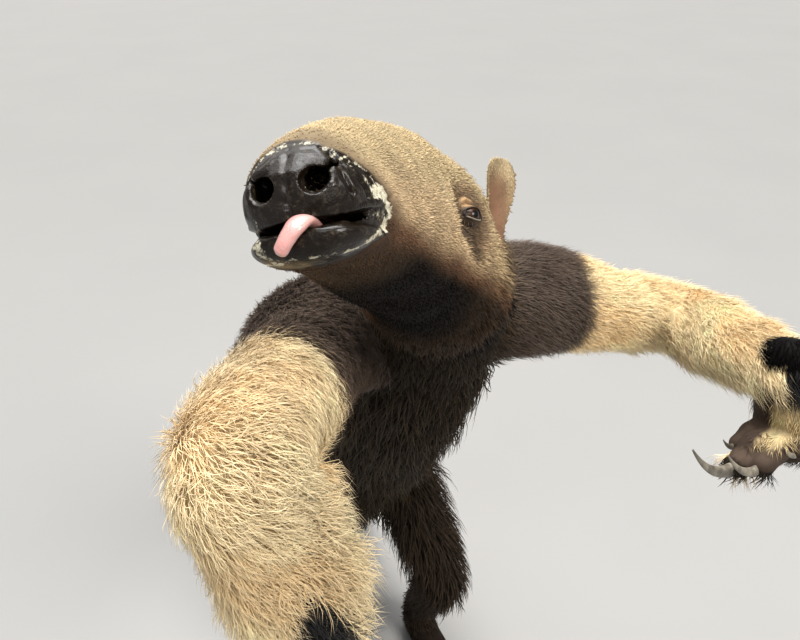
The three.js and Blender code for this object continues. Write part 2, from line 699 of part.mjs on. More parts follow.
// Hind legs, parted at the knee and the ankle.
for (const side of headSides) {
  const name = sideName(side);
  const leg = legOf(side);
  const legMesh = (grow) => leg.mesh(10, 9, grow);
  planes["knee_" + name] = [leg.frame(KNEE_CUT).centre, leg.frame(KNEE_CUT).along];
  planes["ankle_" + name] = [leg.frame(ANKLE_CUT).centre, leg.frame(ANKLE_CUT).along];
  node("thigh_" + name, "dark", (grow) => {
    return coated(before(legMesh(grow), "knee_" + name, grow), "thigh_" + name, grow);
  });
  node("shin_" + name, "dark", (grow) => {
    const stretch = before(after(legMesh(grow), "knee_" + name, grow), "ankle_" + name, grow);
    return coated(stretch, "shin_" + name, grow);
  });
  node("foot_" + name, "dark", (grow) => {
    const ankle = after(legMesh(grow), "ankle_" + name, grow);
    const flesh = Object.keys(toes).map((key) => toeOf(side, key).limb.mesh(5, 3, grow));
    return aboveFloor(join([ankle, footOf(side).mesh(10, 7, grow), ...flesh]));
  });
}

// The tail in four lengths.
const tailMesh = (grow) => aboveFloor(tail.mesh(10, 14, grow));
node("tail_root", "dark", (grow) => coated(before(tailMesh(grow), "dock", grow), "tail_root", grow));
node("tail_base", "dark", (grow) => {
  return coated(before(after(tailMesh(grow), "dock", grow), "tailMiddle", grow), "tail_base", grow);
});
node("tail_middle", "dark", (grow) => {
  return coated(before(after(tailMesh(grow), "tailMiddle", grow), "tailEnd", grow), "tail_middle", grow);
});
node("tail_end", "dark", (grow) => coated(after(tailMesh(grow), "tailEnd", grow), "tail_end", grow));

function boxesMeet(a, b) {
  const [p, q] = [a.boundingBox(), b.boundingBox()];
  return [0, 1, 2].every((i) => p.min[i] < q.max[i] && q.min[i] < p.max[i]);
}

// Every node cut clear of the ones before it.
const anteater = new THREE.Group();
const earlier = [];
for (const { name, finish, build } of nodes) {
  let body = build(0);
  const near = earlier.filter((other) => boxesMeet(other, body));
  if (near.length) body = body.subtract(join(near));
  body = largest(body);
  earlier.push(build(GAP));
  const { numProp, vertProperties, triVerts } = body.getMesh();
  const places = new Float32Array((vertProperties.length / numProp) * 3);
  for (let i = 0; i < places.length / 3; i++) {
    places.set(vertProperties.subarray(i * numProp, i * numProp + 3), i * 3);
  }
  const geometry = new THREE.BufferGeometry();
  geometry.setAttribute("position", new THREE.BufferAttribute(places, 3));
  geometry.setIndex(new THREE.BufferAttribute(new Uint32Array(triVerts), 1));
  geometry.computeVertexNormals();
  const piece = new THREE.Mesh(geometry, finishes[finish]);
  piece.name = name;
  anteater.add(piece);
}

// The origin is under the middle of the whole animal, on the floor.
const extent = new THREE.Box3().setFromObject(anteater);
const middle = extent.getCenter(new THREE.Vector3());
anteater.position.set(-middle.x, -middle.y, 0);

export default anteater;
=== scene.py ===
"""A giant anteater reared on its hind feet and tail: one skin, a coat of tufts, eyes, tongue and claws."""

import math

import bmesh
import bpy
import numpy as np
from bpy.props import FloatProperty, FloatVectorProperty, IntProperty, PointerProperty
from mathutils import Matrix, Vector


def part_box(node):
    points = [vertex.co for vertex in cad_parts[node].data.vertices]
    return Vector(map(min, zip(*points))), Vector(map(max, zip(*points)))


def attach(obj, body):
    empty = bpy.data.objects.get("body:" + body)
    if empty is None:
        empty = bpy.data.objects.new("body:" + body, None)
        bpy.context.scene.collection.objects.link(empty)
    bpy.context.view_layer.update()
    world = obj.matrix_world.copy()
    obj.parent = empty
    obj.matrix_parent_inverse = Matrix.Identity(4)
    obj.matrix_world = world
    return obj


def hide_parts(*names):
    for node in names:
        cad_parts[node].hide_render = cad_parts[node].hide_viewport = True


bl_info = {
    "name": "Giant anteater",
    "version": (1, 0, 0),
    "blender": (4, 5, 0),
    "location": "View3D > Sidebar > Anteater",
    "description": "Builds a life-size giant anteater: its skin, coat, eyes, tongue and claws",
    "category": "Object",
}

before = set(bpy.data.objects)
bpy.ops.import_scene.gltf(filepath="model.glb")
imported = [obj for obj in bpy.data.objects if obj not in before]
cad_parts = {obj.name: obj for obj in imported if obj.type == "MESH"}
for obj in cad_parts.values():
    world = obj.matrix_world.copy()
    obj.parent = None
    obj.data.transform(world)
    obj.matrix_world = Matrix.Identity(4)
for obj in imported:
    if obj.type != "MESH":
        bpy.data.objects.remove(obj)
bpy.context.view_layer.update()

# Sizes shared with the solids, in millimetres
MM = 0.001
MIDLINE = 226
NOSE_TIP = np.array([44.0, 264.0, 1204.0])
HEAD_TURN = 34.2  # degrees to the animal's right
HEAD_RAISE = 31.6  # degrees above level
HEAD_TILT = 17.3  # degrees, left side up
EYE_RADIUS = 9.0
EYE_AT = (226, 45, 17)  # back from the nose tip, out to the side, up
EAR_AT = (292, 56, 7)
EAR_LENGTH = 76
BROW_LEAN = 48  # degrees up from the side of the head
BROW_SPREAD = 26
SHOULDER = {"left": (343, 572, 930), "right": (108, 552, 940)}
ELBOW = {"left": (551, 571, 864), "right": (11, 340, 1004)}
WRIST = {"left": (521, 385, 919), "right": (38, 316, 831)}
KNEE = (108, 752, 262)  # X is measured out from the midline
ANKLE = (102, 815, 108)
HEEL = (100, 846, 26)
TOES = (108, 712, 17)
HAND_LENGTH = 80
CLAW_HOOK = 0.62
SIDES = {"left": 1, "right": -1}
UP = np.array([0.0, 0.0, 1.0])
DOWN = -UP

# Where the skin and the coat change, and how far each stays above the floor
EYE_HOLLOW = 34  # reach of the hollow round the eye
LID_REACH = 20  # reach of the lids, which are made finer
BARE_REACH = 24  # reach of the skin by the eye that may be bare
EAR_LEAN = 5.0  # how far the ear's tip leans out
SHOULDER_END = {"left": 0.2, "right": 0.285}  # where the dark coat ends, as a share of the arm's line
SHOULDER_SLANT = 0.03  # how far that end leans round the right arm
WRIST_END = {"left": 0.955, "right": 0.875}  # where the cream hair ends, as such a share
SKIN_GAP = 0.5
CLAW_GAP = 0.3
COAT_GAP = 1.6
FEWEST_SKIN_POINTS = 50000  # with fewer the parts of the skin did not join


def unit(rows):
    """The rows, each scaled to a length of one."""
    rows = np.asarray(rows, float)
    return rows / np.maximum(np.linalg.norm(rows, axis=-1, keepdims=True), 1e-9)


def ramp(low, high, value):
    """0 at low, 1 at high, and a soft step between them."""
    share = np.clip((value - low) / (high - low), 0, 1)
    return share * share * (3 - 2 * share)


def bell(value, width):
    """1 at nought, and falling softly to both sides."""
    return np.exp(-((value / width) ** 2))


def round_turn(sides):
    """Even angles round a full turn."""
    return np.arange(sides) * 2 * math.pi / sides


def between(a, b, share):
    """A share of the way from a to b."""
    return np.asarray(a, float) * (1 - share) + np.asarray(b, float) * share


def tone(code):
    """A colour written as 0xRRGGBB, as light."""
    parts = np.array([(code >> 16) & 255, (code >> 8) & 255, code & 255]) / 255
    return tuple(np.where(parts <= 0.04045, parts / 12.92, ((parts + 0.055) / 1.055) ** 2.4))


# Head axes: forward along the snout, out to the left, and up
_turn, _raise, _tilt = np.radians([HEAD_TURN, HEAD_RAISE, HEAD_TILT])
_flat = math.cos(_raise)
FORWARD = np.array([-math.sin(_turn) * _flat, -math.cos(_turn) * _flat, math.sin(_raise)])
_level = np.array([math.cos(_turn), -math.sin(_turn), 0.0])
_crown = unit(np.cross(FORWARD, _level))
HEAD_LEFT = _level * math.cos(_tilt) + _crown * math.sin(_tilt)
HEAD_UP = _crown * math.cos(_tilt) - _level * math.sin(_tilt)


def head_point(back, left, up):
    return NOSE_TIP - FORWARD * back + HEAD_LEFT * left + HEAD_UP * up


def head_spot(at, sign):
    """A place on one side of the head, from how far back, out and up it is."""
    back, out, up = at
    return head_point(back, sign * out, up)


def in_head(points):
    """How far back from the nose tip, out to the left and up each point is."""
    away = points - NOSE_TIP
    return -(away @ FORWARD), away @ HEAD_LEFT, away @ HEAD_UP


# The solids are centred on their whole box, so the shift is read from the left eye's place in them.
_eye_low, _eye_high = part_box("eye_left")
SHIFT = np.array((_eye_low + _eye_high) / 2) / MM - head_point(*EYE_AT)


def to_scene(points):
    return (np.asarray(points, float) + SHIFT) * MM


def from_scene(points):
    return np.asarray(points, float) / MM - SHIFT


class Limb:
    """A tapering tube round a curve. Each station is x, y, z and the side, top and bottom radius."""

    def __init__(self, stations, upright, brows=(0, 0)):
        rows = np.array(stations, float)
        self.rows = np.vstack([2 * rows[0] - rows[1], rows, 2 * rows[-1] - rows[-2]])
        self.upright = unit(upright)
        self.brows = brows

    def at(self, t):
        """Centre, way along, side, up, the three radii and the speed along the curve, at each t."""
        spans = len(self.rows) - 3
        t = np.clip(np.atleast_1d(t), 0, 1) * spans
        spot = np.minimum(t.astype(int), spans - 1)
        w = (t - spot)[:, None]
        p0, p1, p2, p3 = (self.rows[spot + k] for k in range(4))
        m1, m2 = (p2 - p0) / 2, (p3 - p1) / 2
        place = (2 * w**3 - 3 * w**2 + 1) * p1 + (w**3 - 2 * w**2 + w) * m1
        place += (3 * w**2 - 2 * w**3) * p2 + (w**3 - w**2) * m2
        slope = (6 * w**2 - 6 * w) * (p1 - p2) + (3 * w**2 - 4 * w + 1) * m1 + (3 * w**2 - 2 * w) * m2
        along = unit(slope[:, :3])
        side = unit(np.cross(along, self.upright))
        up = np.cross(side, along)
        speed = np.linalg.norm(slope[:, :3], axis=1) * spans
        return place[:, :3], along, side, up, place[:, 3:], speed

    def grid(self, sides, rings):
        """Rings of points round the limb, from its start to its end."""
        t = np.linspace(0, 1, rings + 1)
        centre, _, side, up, size, _ = self.at(t)
        turn = round_turn(sides)
        lean = np.degrees(np.arctan2(np.sin(turn), np.abs(np.cos(turn))))
        brow = np.interp(t, np.linspace(0, 1, len(self.brows)), self.brows)[:, None]
        bulge = 1 + brow * bell(lean - BROW_LEAN, BROW_SPREAD)
        wide = np.cos(turn) * size[:, 0:1] * bulge
        tall = np.sin(turn) * np.where(np.sin(turn) > 0, size[:, 1:2], size[:, 2:3]) * bulge
        return centre[:, None] + side[:, None] * wide[..., None] + up[:, None] * tall[..., None]


def ball_grid(centre, radii, axes, sides=32, rings=20):
    """Rings of points on a ball with its own radii and axes."""
    turn = round_turn(sides)
    tip = np.linspace(0.04, math.pi - 0.04, rings)[:, None]
    a = (np.sin(tip) * np.cos(turn))[..., None] * axes[0] * radii[0]
    b = (np.sin(tip) * np.sin(turn))[..., None] * axes[1] * radii[1]
    c = (np.cos(tip) * np.ones(sides))[..., None] * axes[2] * radii[2]
    return np.asarray(centre) + a + b + c


# The limbs as the bare skin has them, inside the solids by the depth of the coat
def head_stations(rows):
    return [(*head_point(back, 0, rise), *size) for back, rise, *size in rows]


SKULL_ROWS = (
    # back, rise, side, top, bottom, brow
    (-2.6, 2, 4, 4, 3, 0),
    (-1.4, 2, 11, 10, 8, 0),
    (1, 1.6, 17.5, 16.5, 12, 0),
    (5, 1, 22, 20.5, 16, 0),
    (10, 0.5, 25, 24.5, 18.5, 0),
    (16, 0, 27, 27.5, 20, 0),
    (28, 0, 29.8, 34, 22.5, 0),
    (40, 0, 31.5, 38.5, 24, 0),
    (60, 0.5, 34.2, 46, 28, 0.02),
    (84, 1, 37.5, 53.5, 33, 0.04),
    (110, 1.5, 40.2, 59, 37, 0.06),
    (132, 2, 42.5, 62.5, 41, 0.08),
    (158, 3, 43.8, 65.5, 45, 0.1),
    (182, 4, 44.5, 66.5, 49, 0.12),
    (205, 4.6, 45.2, 67, 54, 0.14),
    (225, 5, 47.5, 67, 58, 0.15),
    (243, 4.8, 53, 67, 61, 0.14),
    (262, 4, 57, 67, 63, 0.12),
    (300, 0, 61, 65.5, 67, 0.08),
    (340, -6, 61, 62, 68, 0.04),
    (375, -12, 59, 58, 66, 0),
)
SKULL = Limb(head_stations([row[:5] for row in SKULL_ROWS]), HEAD_UP, [row[5] for row in SKULL_ROWS])
JAW = Limb(
    head_stations(
        [
            (-0.6, -17, 6, 2, 3),
            (0.6, -17, 13, 3, 5.5),
            (5, -17, 21, 5, 9),
            (16, -17, 26.3, 6, 10.5),
            (34, -16, 28.4, 7, 9.5),
            (50, -17, 26.5, 6, 8.5),
            (66, -20, 21, 5, 7),
            (78, -22, 14, 4, 5),
        ]
    ),
    HEAD_UP,
)
TONGUE = Limb(
    [
        (*head_point(back, left, rise), *size)
        for back, left, rise, *size in [
            (34, 2.5, -17, 4.4, 2, 2),
            (17, 3.2, -15, 4.8, 2.2, 2.2),
            (7, 4.0, -12.4, 5.2, 2.5, 2.5),
            (0, 3.8, -11.4, 5.4, 2.8, 2.8),
            (-4.0, 1.8, -14.0, 5.4, 3.0, 3.0),
            (-5.2, -1.6, -18.0, 5.2, 3.0, 3.0),
            (-5.0, -4.6, -21.6, 5.2, 2.9, 2.9),
            (-4.8, -5.6, -22.9, 4.5, 2.5, 2.5),
            (-4.7, -6.2, -23.7, 2.6, 1.5, 1.5),
        ]
    ],
    HEAD_UP + 0.6 * FORWARD,
)
TRUNK = Limb(
    [
        (190, 474, 1048, 48, 50, 56),
        (207, 514, 1010, 58, 62, 68),
        (221, 556, 968, 74, 80, 86),
        (MIDLINE, 600, 922, 86, 92, 96),
        (MIDLINE, 655, 842, 92, 98, 108),
        (MIDLINE, 725, 735, 91, 97, 112),
        (MIDLINE, 795, 628, 86, 92, 107),
        (MIDLINE, 855, 528, 81, 87, 96),
        (MIDLINE, 903, 440, 77, 80, 86),
        (MIDLINE, 948, 362, 62, 63, 69),
        (MIDLINE, 985, 296, 44, 44, 48),
    ],
    (0, 0.7, 0.7),
)
TAIL = Limb(
    [
        (MIDLINE, 955, 345, 50, 50, 50),
        (MIDLINE, 1008, 256, 40, 41, 41),
        (MIDLINE + 1, 1063, 172, 34, 33, 35),
        (MIDLINE + 3, 1135, 98, 30, 28, 31),
        (MIDLINE + 8, 1232, 50, 26, 22, 28),
        (MIDLINE + 16, 1350, 33, 22, 17, 25),
        (MIDLINE + 24, 1470, 27, 17, 13, 20),
        (MIDLINE + 28, 1580, 22, 12, 10, 15),
        (MIDLINE + 27, 1670, 17, 8, 7, 11),
        (MIDLINE + 24, 1712, 14, 4, 4, 8),
    ],
    (0, 0.7, 0.7),
)


def arm_of(side, upright):
    shoulder, elbow, wrist = SHOULDER[side], ELBOW[side], WRIST[side]
    inside = (MIDLINE, 600, 915)
    return Limb(
        [
            (*between(inside, shoulder, 0.4), 56, 59, 61),
            (*shoulder, 56, 58, 60),
            (*between(shoulder, elbow, 0.5), 43, 44, 45),
            (*elbow, 39, 38, 38),
            (*between(elbow, wrist, 0.3), 41, 38, 38),
            (*between(elbow, wrist, 0.7), 37, 32, 32),
            (*wrist, 29, 25, 25),
            (*between(elbow, wrist, 1.12), 22, 19, 19),
        ],
        upright,
    )


ARMS = {"left": arm_of("left", (0, 0, 1)), "right": arm_of("right", (0.3, -1, 0.2))}


def mirrored(sign, rows):
    return [(MIDLINE + sign * x, *rest) for x, *rest in rows]


def leg_of(sign):
    rows = [
        (40, 918, 462, 50, 62, 62),
        (72, 888, 412, 53, 70, 72),
        (94, 822, 336, 47, 58, 60),
        (*KNEE, 38, 41, 42),
        (106, 776, 196, 31, 34, 35),
        (*ANKLE, 26, 27, 28),
        (101, 828, 62, 29, 31, 33),
        (101, 832, 28, 25, 29, 29),
    ]
    return Limb(mirrored(sign, rows), (0, -1, 0))


def foot_of(sign):
    rows = [
        (HEEL[0], HEEL[1] + 13, HEEL[2], 13, 13, 25),
        (*HEEL, 26, 25, 26),
        (*between(HEEL, TOES, 0.35), 30, 29, 24),
        (*between(HEEL, TOES, 0.7), 34, 23, 20),
        (*TOES, 35, 16, 17),
        (TOES[0] + 1, TOES[1] - 15, TOES[2] - 3, 29, 10, 13),
    ]
    return Limb(mirrored(sign, rows), (0, 0, 1))


LEGS = {side: leg_of(sign) for side, sign in SIDES.items()}
FEET = {side: foot_of(sign) for side, sign in SIDES.items()}

# Each hand: which way the fingers point, the palm's way, and the thumb's side
HANDS = {
    "left": {"down": (0.06, -0.28, -0.96), "palm": (-0.97, -0.2, 0), "thumb": (0.15, -0.95, 0.28)},
    "right": {"down": (0.12, 0.02, -1), "palm": (0.35, 0.93, 0.06), "thumb": (0.93, -0.35, 0.1)},
}
# Digit: across to the thumb, flesh radius, claw length, claw thickness, knuckle, reach over the palm
DIGITS = {
    "first": (24, 9, 24, 4.5, 58, 24),
    "second": (13, 13, 54, 7, 62, 62),
    "third": (-5, 15, 70, 9, 64, 72),
    "fourth": (-24, 11, 24, 5, 60, 44),
}
# Toe: out from the foot's middle, length forward, flesh radius, claw length
TOE_SIZES = {
    "first": (-27, 0, 9, 17),
    "second": (-14, 9, 10.5, 21),
    "third": (0, 12, 11, 23),
    "fourth": (14, 9, 10.5, 21),
    "fifth": (27, 0, 9, 17),
}


class Hand:
    """A hand's axes, its palm and its digits."""

    def __init__(self, side):
        self.start = np.array(WRIST[side], float)
        self.down = unit(HANDS[side]["down"])
        palm = np.array(HANDS[side]["palm"], float)
        self.palm = unit(palm - self.down * palm.dot(self.down))
        self.across = unit(np.cross(self.down, self.palm))
        if self.across.dot(HANDS[side]["thumb"]) < 0:
            self.across = -self.across

    def point(self, along, toward_palm, across):
        return self.start + self.down * along + self.palm * toward_palm + self.across * across

    def read(self, points):
        """How far along the hand, towards the palm and towards the thumb each point is."""
        away = points - self.start
        return away @ self.down, away @ self.palm, away @ self.across

    def flesh(self):
        rows = [
            (-33, -2, 9, 8, 8),
            (-28, -1, 19, 17, 17),
            (-18, 0, 26, 23, 23),
            (0, 1, 30, 25, 25),
            (24, 2, 32, 23, 23),
            (56, 4, 31, 20, 20),
            (HAND_LENGTH, 8, 24, 15, 15),
            (HAND_LENGTH + 9, 10, 12, 8, 8),
        ]
        return Limb([(*self.point(along, into, 0), *size) for along, into, *size in rows], -self.palm)

    def ends(self, key):
        across, _, _, _, knuckle, reach = DIGITS[key]
        return self.point(knuckle - 4, 4, across * 0.8), self.point(knuckle + 10, reach, across)

    def digit(self, key):
        root, tip = self.ends(key)
        return digit_of(root, tip, DIGITS[key][1] - 0.8, self.down)

    def claw(self, key):
        _, tip = self.ends(key)
        ahead = unit(self.palm + 0.05 * self.down)
        return claw_of(tip, ahead, -self.down, DIGITS[key][2], DIGITS[key][3] * 0.86)


def digit_of(root, tip, radius, upright):
    """A bent run of flesh with a swollen knuckle and a pad at its end."""
    middle = between(root, tip, 0.55) - upright * radius * 0.18
    rows = [(root, 1.0), (between(root, middle, 0.6), 0.94), (middle, 1.04)]
    rows += [(between(middle, tip, 0.5), 0.88), (tip, 0.86)]
    rows.append((tip + unit(tip - middle) * radius * 0.5, 0.5))
    return Limb([(*at, radius * share, radius * share, radius * share) for at, share in rows], upright)


def claw_of(root, ahead, bend, length, thick):
    """A hooked claw that narrows to its tip."""
    rows = []
    for u in (-0.12, 0, 0.15, 0.3, 0.45, 0.6, 0.75, 0.88, 0.97, 1):
        at = np.asarray(root, float) + ahead * length * (u - 0.18 * u * u)
        at = at + bend * length * CLAW_HOOK * u * u
        r = thick * (0.9 if u < 0.1 else 1.02 - 0.9 * u)
        rows.append((*at, r * 0.62, r, r))
    return Limb(rows, -np.asarray(bend, float))


def toe_parts(sign, key):
    """A toe's flesh and its claw."""
    out, ahead, radius, length = TOE_SIZES[key]
    x = MIDLINE + sign * (TOES[0] + out)
    root = np.array([MIDLINE + sign * (TOES[0] + 0.8 * out), TOES[1] + 18, 16])
    tip = np.array([x, TOES[1] - 8 - ahead, 10.0])
    claw = claw_of(tip + (0, -3, 3), np.array([0, -1, -0.02]), DOWN, length, 4.6)
    return digit_of(root, tip, radius - 0.8, UP), claw


HAND_PARTS = {side: Hand(side) for side in SIDES}


# Ears
def ear_frame(sign):
    """The ear's root and its axes: across, up and out of its cup."""
    up = unit(HEAD_UP * 0.93 - FORWARD * 0.22 + HEAD_LEFT * sign * 0.16)
    face = HEAD_LEFT * sign * 0.76 + FORWARD * 0.65
    face = unit(face - up * face.dot(up))
    return head_spot(EAR_AT, sign), np.cross(up, face), up, face


def ear_grid(sign, rings=48, sides=44):
    """A cupped leaf of even thickness, open to the side and front."""
    root, wide, up, face = ear_frame(sign)
    turn = round_turn(sides)
    height = np.linspace(0, 1, rings + 1)
    body = 8 + 8 * ramp(0.05, 0.72, height)
    half = body * np.sqrt(np.clip(1 - (np.maximum(height - 0.75, 0) / 0.255) ** 2.2, 0, 1))
    curl = np.interp(height, [0, 0.3, 0.6, 0.85, 1], [1.0, 0.9, 0.72, 0.55, 0.4])
    across = half[:, None] * np.cos(turn)
    cup = curl[:, None] * across**2 / half[:, None]
    thick = (1.8 - 0.5 * height)[:, None] * np.sin(turn)
    out = cup + thick - 4 + (EAR_LEAN * height**2)[:, None]
    slope = 0.34 * np.sign(wide @ -FORWARD) * height**2
    rise = (height * EAR_LENGTH - 6)[:, None] + slope[:, None] * across
    return root + across[..., None] * wide + out[..., None] * face + rise[..., None] * up


def ear_line(sign):
    """The ear as a plain limb, for reading places on it."""
    root, _, up, face = ear_frame(sign)
    rows = [(-2, 10, 8, 8), (20, 11, 8, 8), (48, 14, 7, 7), (70, 7, 4, 4)]
    return Limb([(*(root + up * rise), *size) for rise, *size in rows], face)


# Meshes
def shell_faces(rings, sides):
    """Quads round a grid of points, with a fan to a pole at each end."""
    spot = np.arange(rings * sides).reshape(rings, sides)
    turned = np.roll(spot, -1, axis=1)
    quads = np.stack([spot[:-1], turned[:-1], turned[1:], spot[1:]], -1).reshape(-1, 4).tolist()
    first, last = rings * sides, rings * sides + 1
    quads += [(b, a, first) for a, b in zip(spot[0], turned[0])]
    quads += [(a, b, last) for a, b in zip(spot[-1], turned[-1])]
    return quads


def join_shells(grids):
    """Points and faces of several closed grids together."""
    points, faces, start = [], [], 0
    for grid in grids:
        rings, sides = grid.shape[:2]
        flat = np.vstack([grid.reshape(-1, 3), grid[0].mean(0), grid[-1].mean(0)])
        points.append(flat)
        faces += [tuple(start + k for k in face) for face in shell_faces(rings, sides)]
        start += len(flat)
    return np.vstack(points), faces


def add_object(name, data):
    made = bpy.data.objects.new(name, data)
    bpy.context.scene.collection.objects.link(made)
    return made


def piece_from(name, points, faces):
    """A new object from points in millimetres, its faces turned outwards."""
    mesh = bpy.data.meshes.new(name)
    mesh.from_pydata(to_scene(points).tolist(), [], [tuple(map(int, face)) for face in faces])
    form = bmesh.new()
    form.from_mesh(mesh)
    bmesh.ops.recalc_face_normals(form, faces=form.faces)
    form.to_mesh(mesh)
    form.free()
    mesh.shade_smooth()
    return add_object(name, mesh)


def piece_of_shells(name, grids):
    return piece_from(name, *join_shells(grids))


def settle(piece):
    """The piece's modifiers worked into its mesh."""
    graph = bpy.context.evaluated_depsgraph_get()
    made = bpy.data.meshes.new_from_object(piece.evaluated_get(graph))
    piece.modifiers.clear()
    old = piece.data
    piece.data = made
    bpy.data.meshes.remove(old)
    return piece


def discard(piece):
    mesh = piece.data
    bpy.data.objects.remove(piece)
    bpy.data.meshes.remove(mesh)


def even(piece, voxel, passes):
    """The piece as one even closed surface."""
    made = piece.modifiers.new("even", "REMESH")
    made.mode = "VOXEL"
    made.voxel_size = voxel
    soft = piece.modifiers.new("soft", "SMOOTH")
    soft.factor = 0.5
    soft.iterations = passes
    return settle(piece)


def combine(piece, other, operation):
    """The piece joined with another, or cut by it. The other is used up."""
    made = piece.modifiers.new(operation.lower(), "BOOLEAN")
    made.operation = operation
    made.solver = "MANIFOLD"
    made.object = other
    settle(piece)
    discard(other)
    return piece


def points_of(piece):
    flat = np.empty(len(piece.data.vertices) * 3, np.float32)
    piece.data.vertices.foreach_get("co", flat)
    return from_scene(flat.reshape(-1, 3))


def set_points(piece, points):
    piece.data.vertices.foreach_set("co", to_scene(points).astype(np.float32).ravel())
    piece.data.update()


def normals_of(piece):
    flat = np.empty(len(piece.data.vertices) * 3, np.float32)
    piece.data.vertex_normals.foreach_get("vector", flat)
    return flat.reshape(-1, 3).astype(float)


def keep_above(piece, gap):
    """The piece's lowest points raised to a gap over the floor."""
    points = points_of(piece)
    points[:, 2] = np.maximum(points[:, 2], gap)
    set_points(piece, points)


def refine(piece, chosen):
    """The faces round the chosen points split once more."""
    form = bmesh.new()
    form.from_mesh(piece.data)
    form.verts.ensure_lookup_table()
    edges = [e for e in form.edges if chosen[e.verts[0].index] and chosen[e.verts[1].index]]
    bmesh.ops.subdivide_edges(form, edges=edges, cuts=1, use_grid_fill=True, smooth=0.3)
    form.to_mesh(piece.data)
    form.free()


def line_distance(points, line):
    """The least distance from each point to a line of straight runs."""
    best = np.full(len(points), 1e9)
    line = np.asarray(line, float)
    for a, b in zip(line[:-1], line[1:]):
        run = b - a
        share = np.clip(((points - a) @ run) / run.dot(run), 0, 1)
        best = np.minimum(best, np.linalg.norm(points - a - share[:, None] * run, axis=1))
    return best


def wander(points, scale, seed):
    """Three soft random values for each point, from seeded waves about a scale in millimetres long."""
    rng = np.random.default_rng(seed)
    total = np.zeros((len(points), 3))
    for _ in range(7):
        wave = rng.normal(size=(3, 3)) * 2.4 / scale
        total += np.sin(points @ wave + rng.uniform(0, 2 * math.pi, 3))
    return total / 3.5


# The body read as a whole
class Body:
    """All the limbs: for any point, its limb, its place there, and the way the coat lies."""

    SAMPLES = 40
    CHUNK = 16000

    def __init__(self, limbs):
        self.names = list(limbs)
        self.tables = []
        for limb in limbs.values():
            centre, along, side, up, size, speed = limb.at(np.linspace(0, 1, self.SAMPLES))
            self.tables.append(np.hstack([centre, along, side, up, size, speed[:, None]]))

    def read(self, points):
        parts = [self._read(points[i : i + self.CHUNK]) for i in range(0, len(points), self.CHUNK)]
        return {key: np.concatenate([part[key] for part in parts]) for key in parts[0]}

    def _read(self, points):
        # A row holds centre 0-2, along 3-5, side 6-8, up 9-11, the radii 12-14 and speed 15.
        count = len(points)
        last = self.SAMPLES - 1
        found = {
            "limb": np.zeros(count, int),
            "t": np.zeros(count),
            "angle": np.zeros(count),
            "close": np.full(count, 1e9),
            "lie": np.zeros((count, 3)),
            "out": np.zeros((count, 3)),
        }
        for index, rows in enumerate(self.tables):
            apart = (points**2).sum(1)[:, None] - 2 * points @ rows[:, :3].T + (rows[:, :3] ** 2).sum(1)
            nearest = apart.argmin(1)
            row = rows[nearest]
            ahead = ((points - row[:, :3]) * row[:, 3:6]).sum(1) / row[:, 15]
            t = np.clip(nearest / last + np.clip(ahead, -1 / last, 1 / last), 0, 1)
            low = np.minimum((t * last).astype(int), last - 1)
            share = (t * last - low)[:, None]
            row = rows[low] * (1 - share) + rows[low + 1] * share
            away = points - row[:, :3]
            x = (away * row[:, 6:9]).sum(1) / row[:, 12]
            high = (away * row[:, 9:12]).sum(1)
            y = high / np.where(high > 0, row[:, 13], row[:, 14])
            z = (away * row[:, 3:6]).sum(1) / row[:, 12]
            close = np.sqrt(x * x + y * y + z * z)
            out = unit(row[:, 6:9] * x[:, None] + row[:, 9:12] * y[:, None])
            # The nearest limb counts most, and joints turn softly from one to the next.
            weight = (1 / np.maximum(close, 0.4) ** 9)[:, None]
            found["lie"] += row[:, 3:6] * weight
            found["out"] += out * weight
            nearer = close < found["close"]
            found["limb"][nearer] = index
            found["t"][nearer] = t[nearer]
            found["angle"][nearer] = np.arctan2(y, x)[nearer]
            found["close"][nearer] = close[nearer]
        found["lie"] = unit(found["lie"])
        found["out"] = unit(found["out"])
        return found


LIMBS = {"skull": SKULL, "trunk": TRUNK, "tail": TAIL}
for _side, _sign in SIDES.items():
    LIMBS["arm_" + _side] = ARMS[_side]
    LIMBS["hand_" + _side] = HAND_PARTS[_side].flesh()
    LIMBS["leg_" + _side] = LEGS[_side]
    LIMBS["foot_" + _side] = FEET[_side]
    LIMBS["ear_" + _side] = ear_line(_sign)
BODY = Body(LIMBS)


def ear_hollow(points):
    """1 deep in the cup of an ear, 0 on its rim and its back: where shade is painted in the cup."""
    deep = np.zeros(len(points))
    for sign in SIDES.values():
        root, wide, up, face = ear_frame(sign)
        away = points - root
        across, rise, out = np.abs(away @ wide), away @ up, away @ face
        lean = EAR_LEAN * np.clip((rise + 6) / EAR_LENGTH, 0, 1) ** 2
        in_cup = (out - lean > -4.0) & (across < 13) & (rise > -8) & (rise < EAR_LENGTH)
        depth = ramp(12, 6, across) * ramp(EAR_LENGTH * 0.9, EAR_LENGTH * 0.5, rise)
        deep = np.maximum(deep, in_cup * depth)
    return deep


def limb_is(where, *names):
    """Whether each point is on a limb whose name starts with one of these words."""
    chosen = np.array([name.startswith(names) for name in BODY.names])
    return chosen[where["limb"]]


# Markings
def palette():
    colours = bpy.context.scene.anteater_colours
    return {name: np.array(getattr(colours, name)[:]) for name in AnteaterColours.__annotations__}


def leather_edge(left, up):
    """How far back the bare leather of the muzzle reaches, by the way round the muzzle."""
    turn = np.degrees(np.arctan2(up + 2, np.abs(left)))
    marks = [-90, -60, -38, -24, -8, 1, 9, 18, 30, 43, 62, 90]
    return np.interp(turn, marks, [15, 20, 26, 40, 43.5, 41, 33, 25, 17, 12.5, 10.5, 11.5])


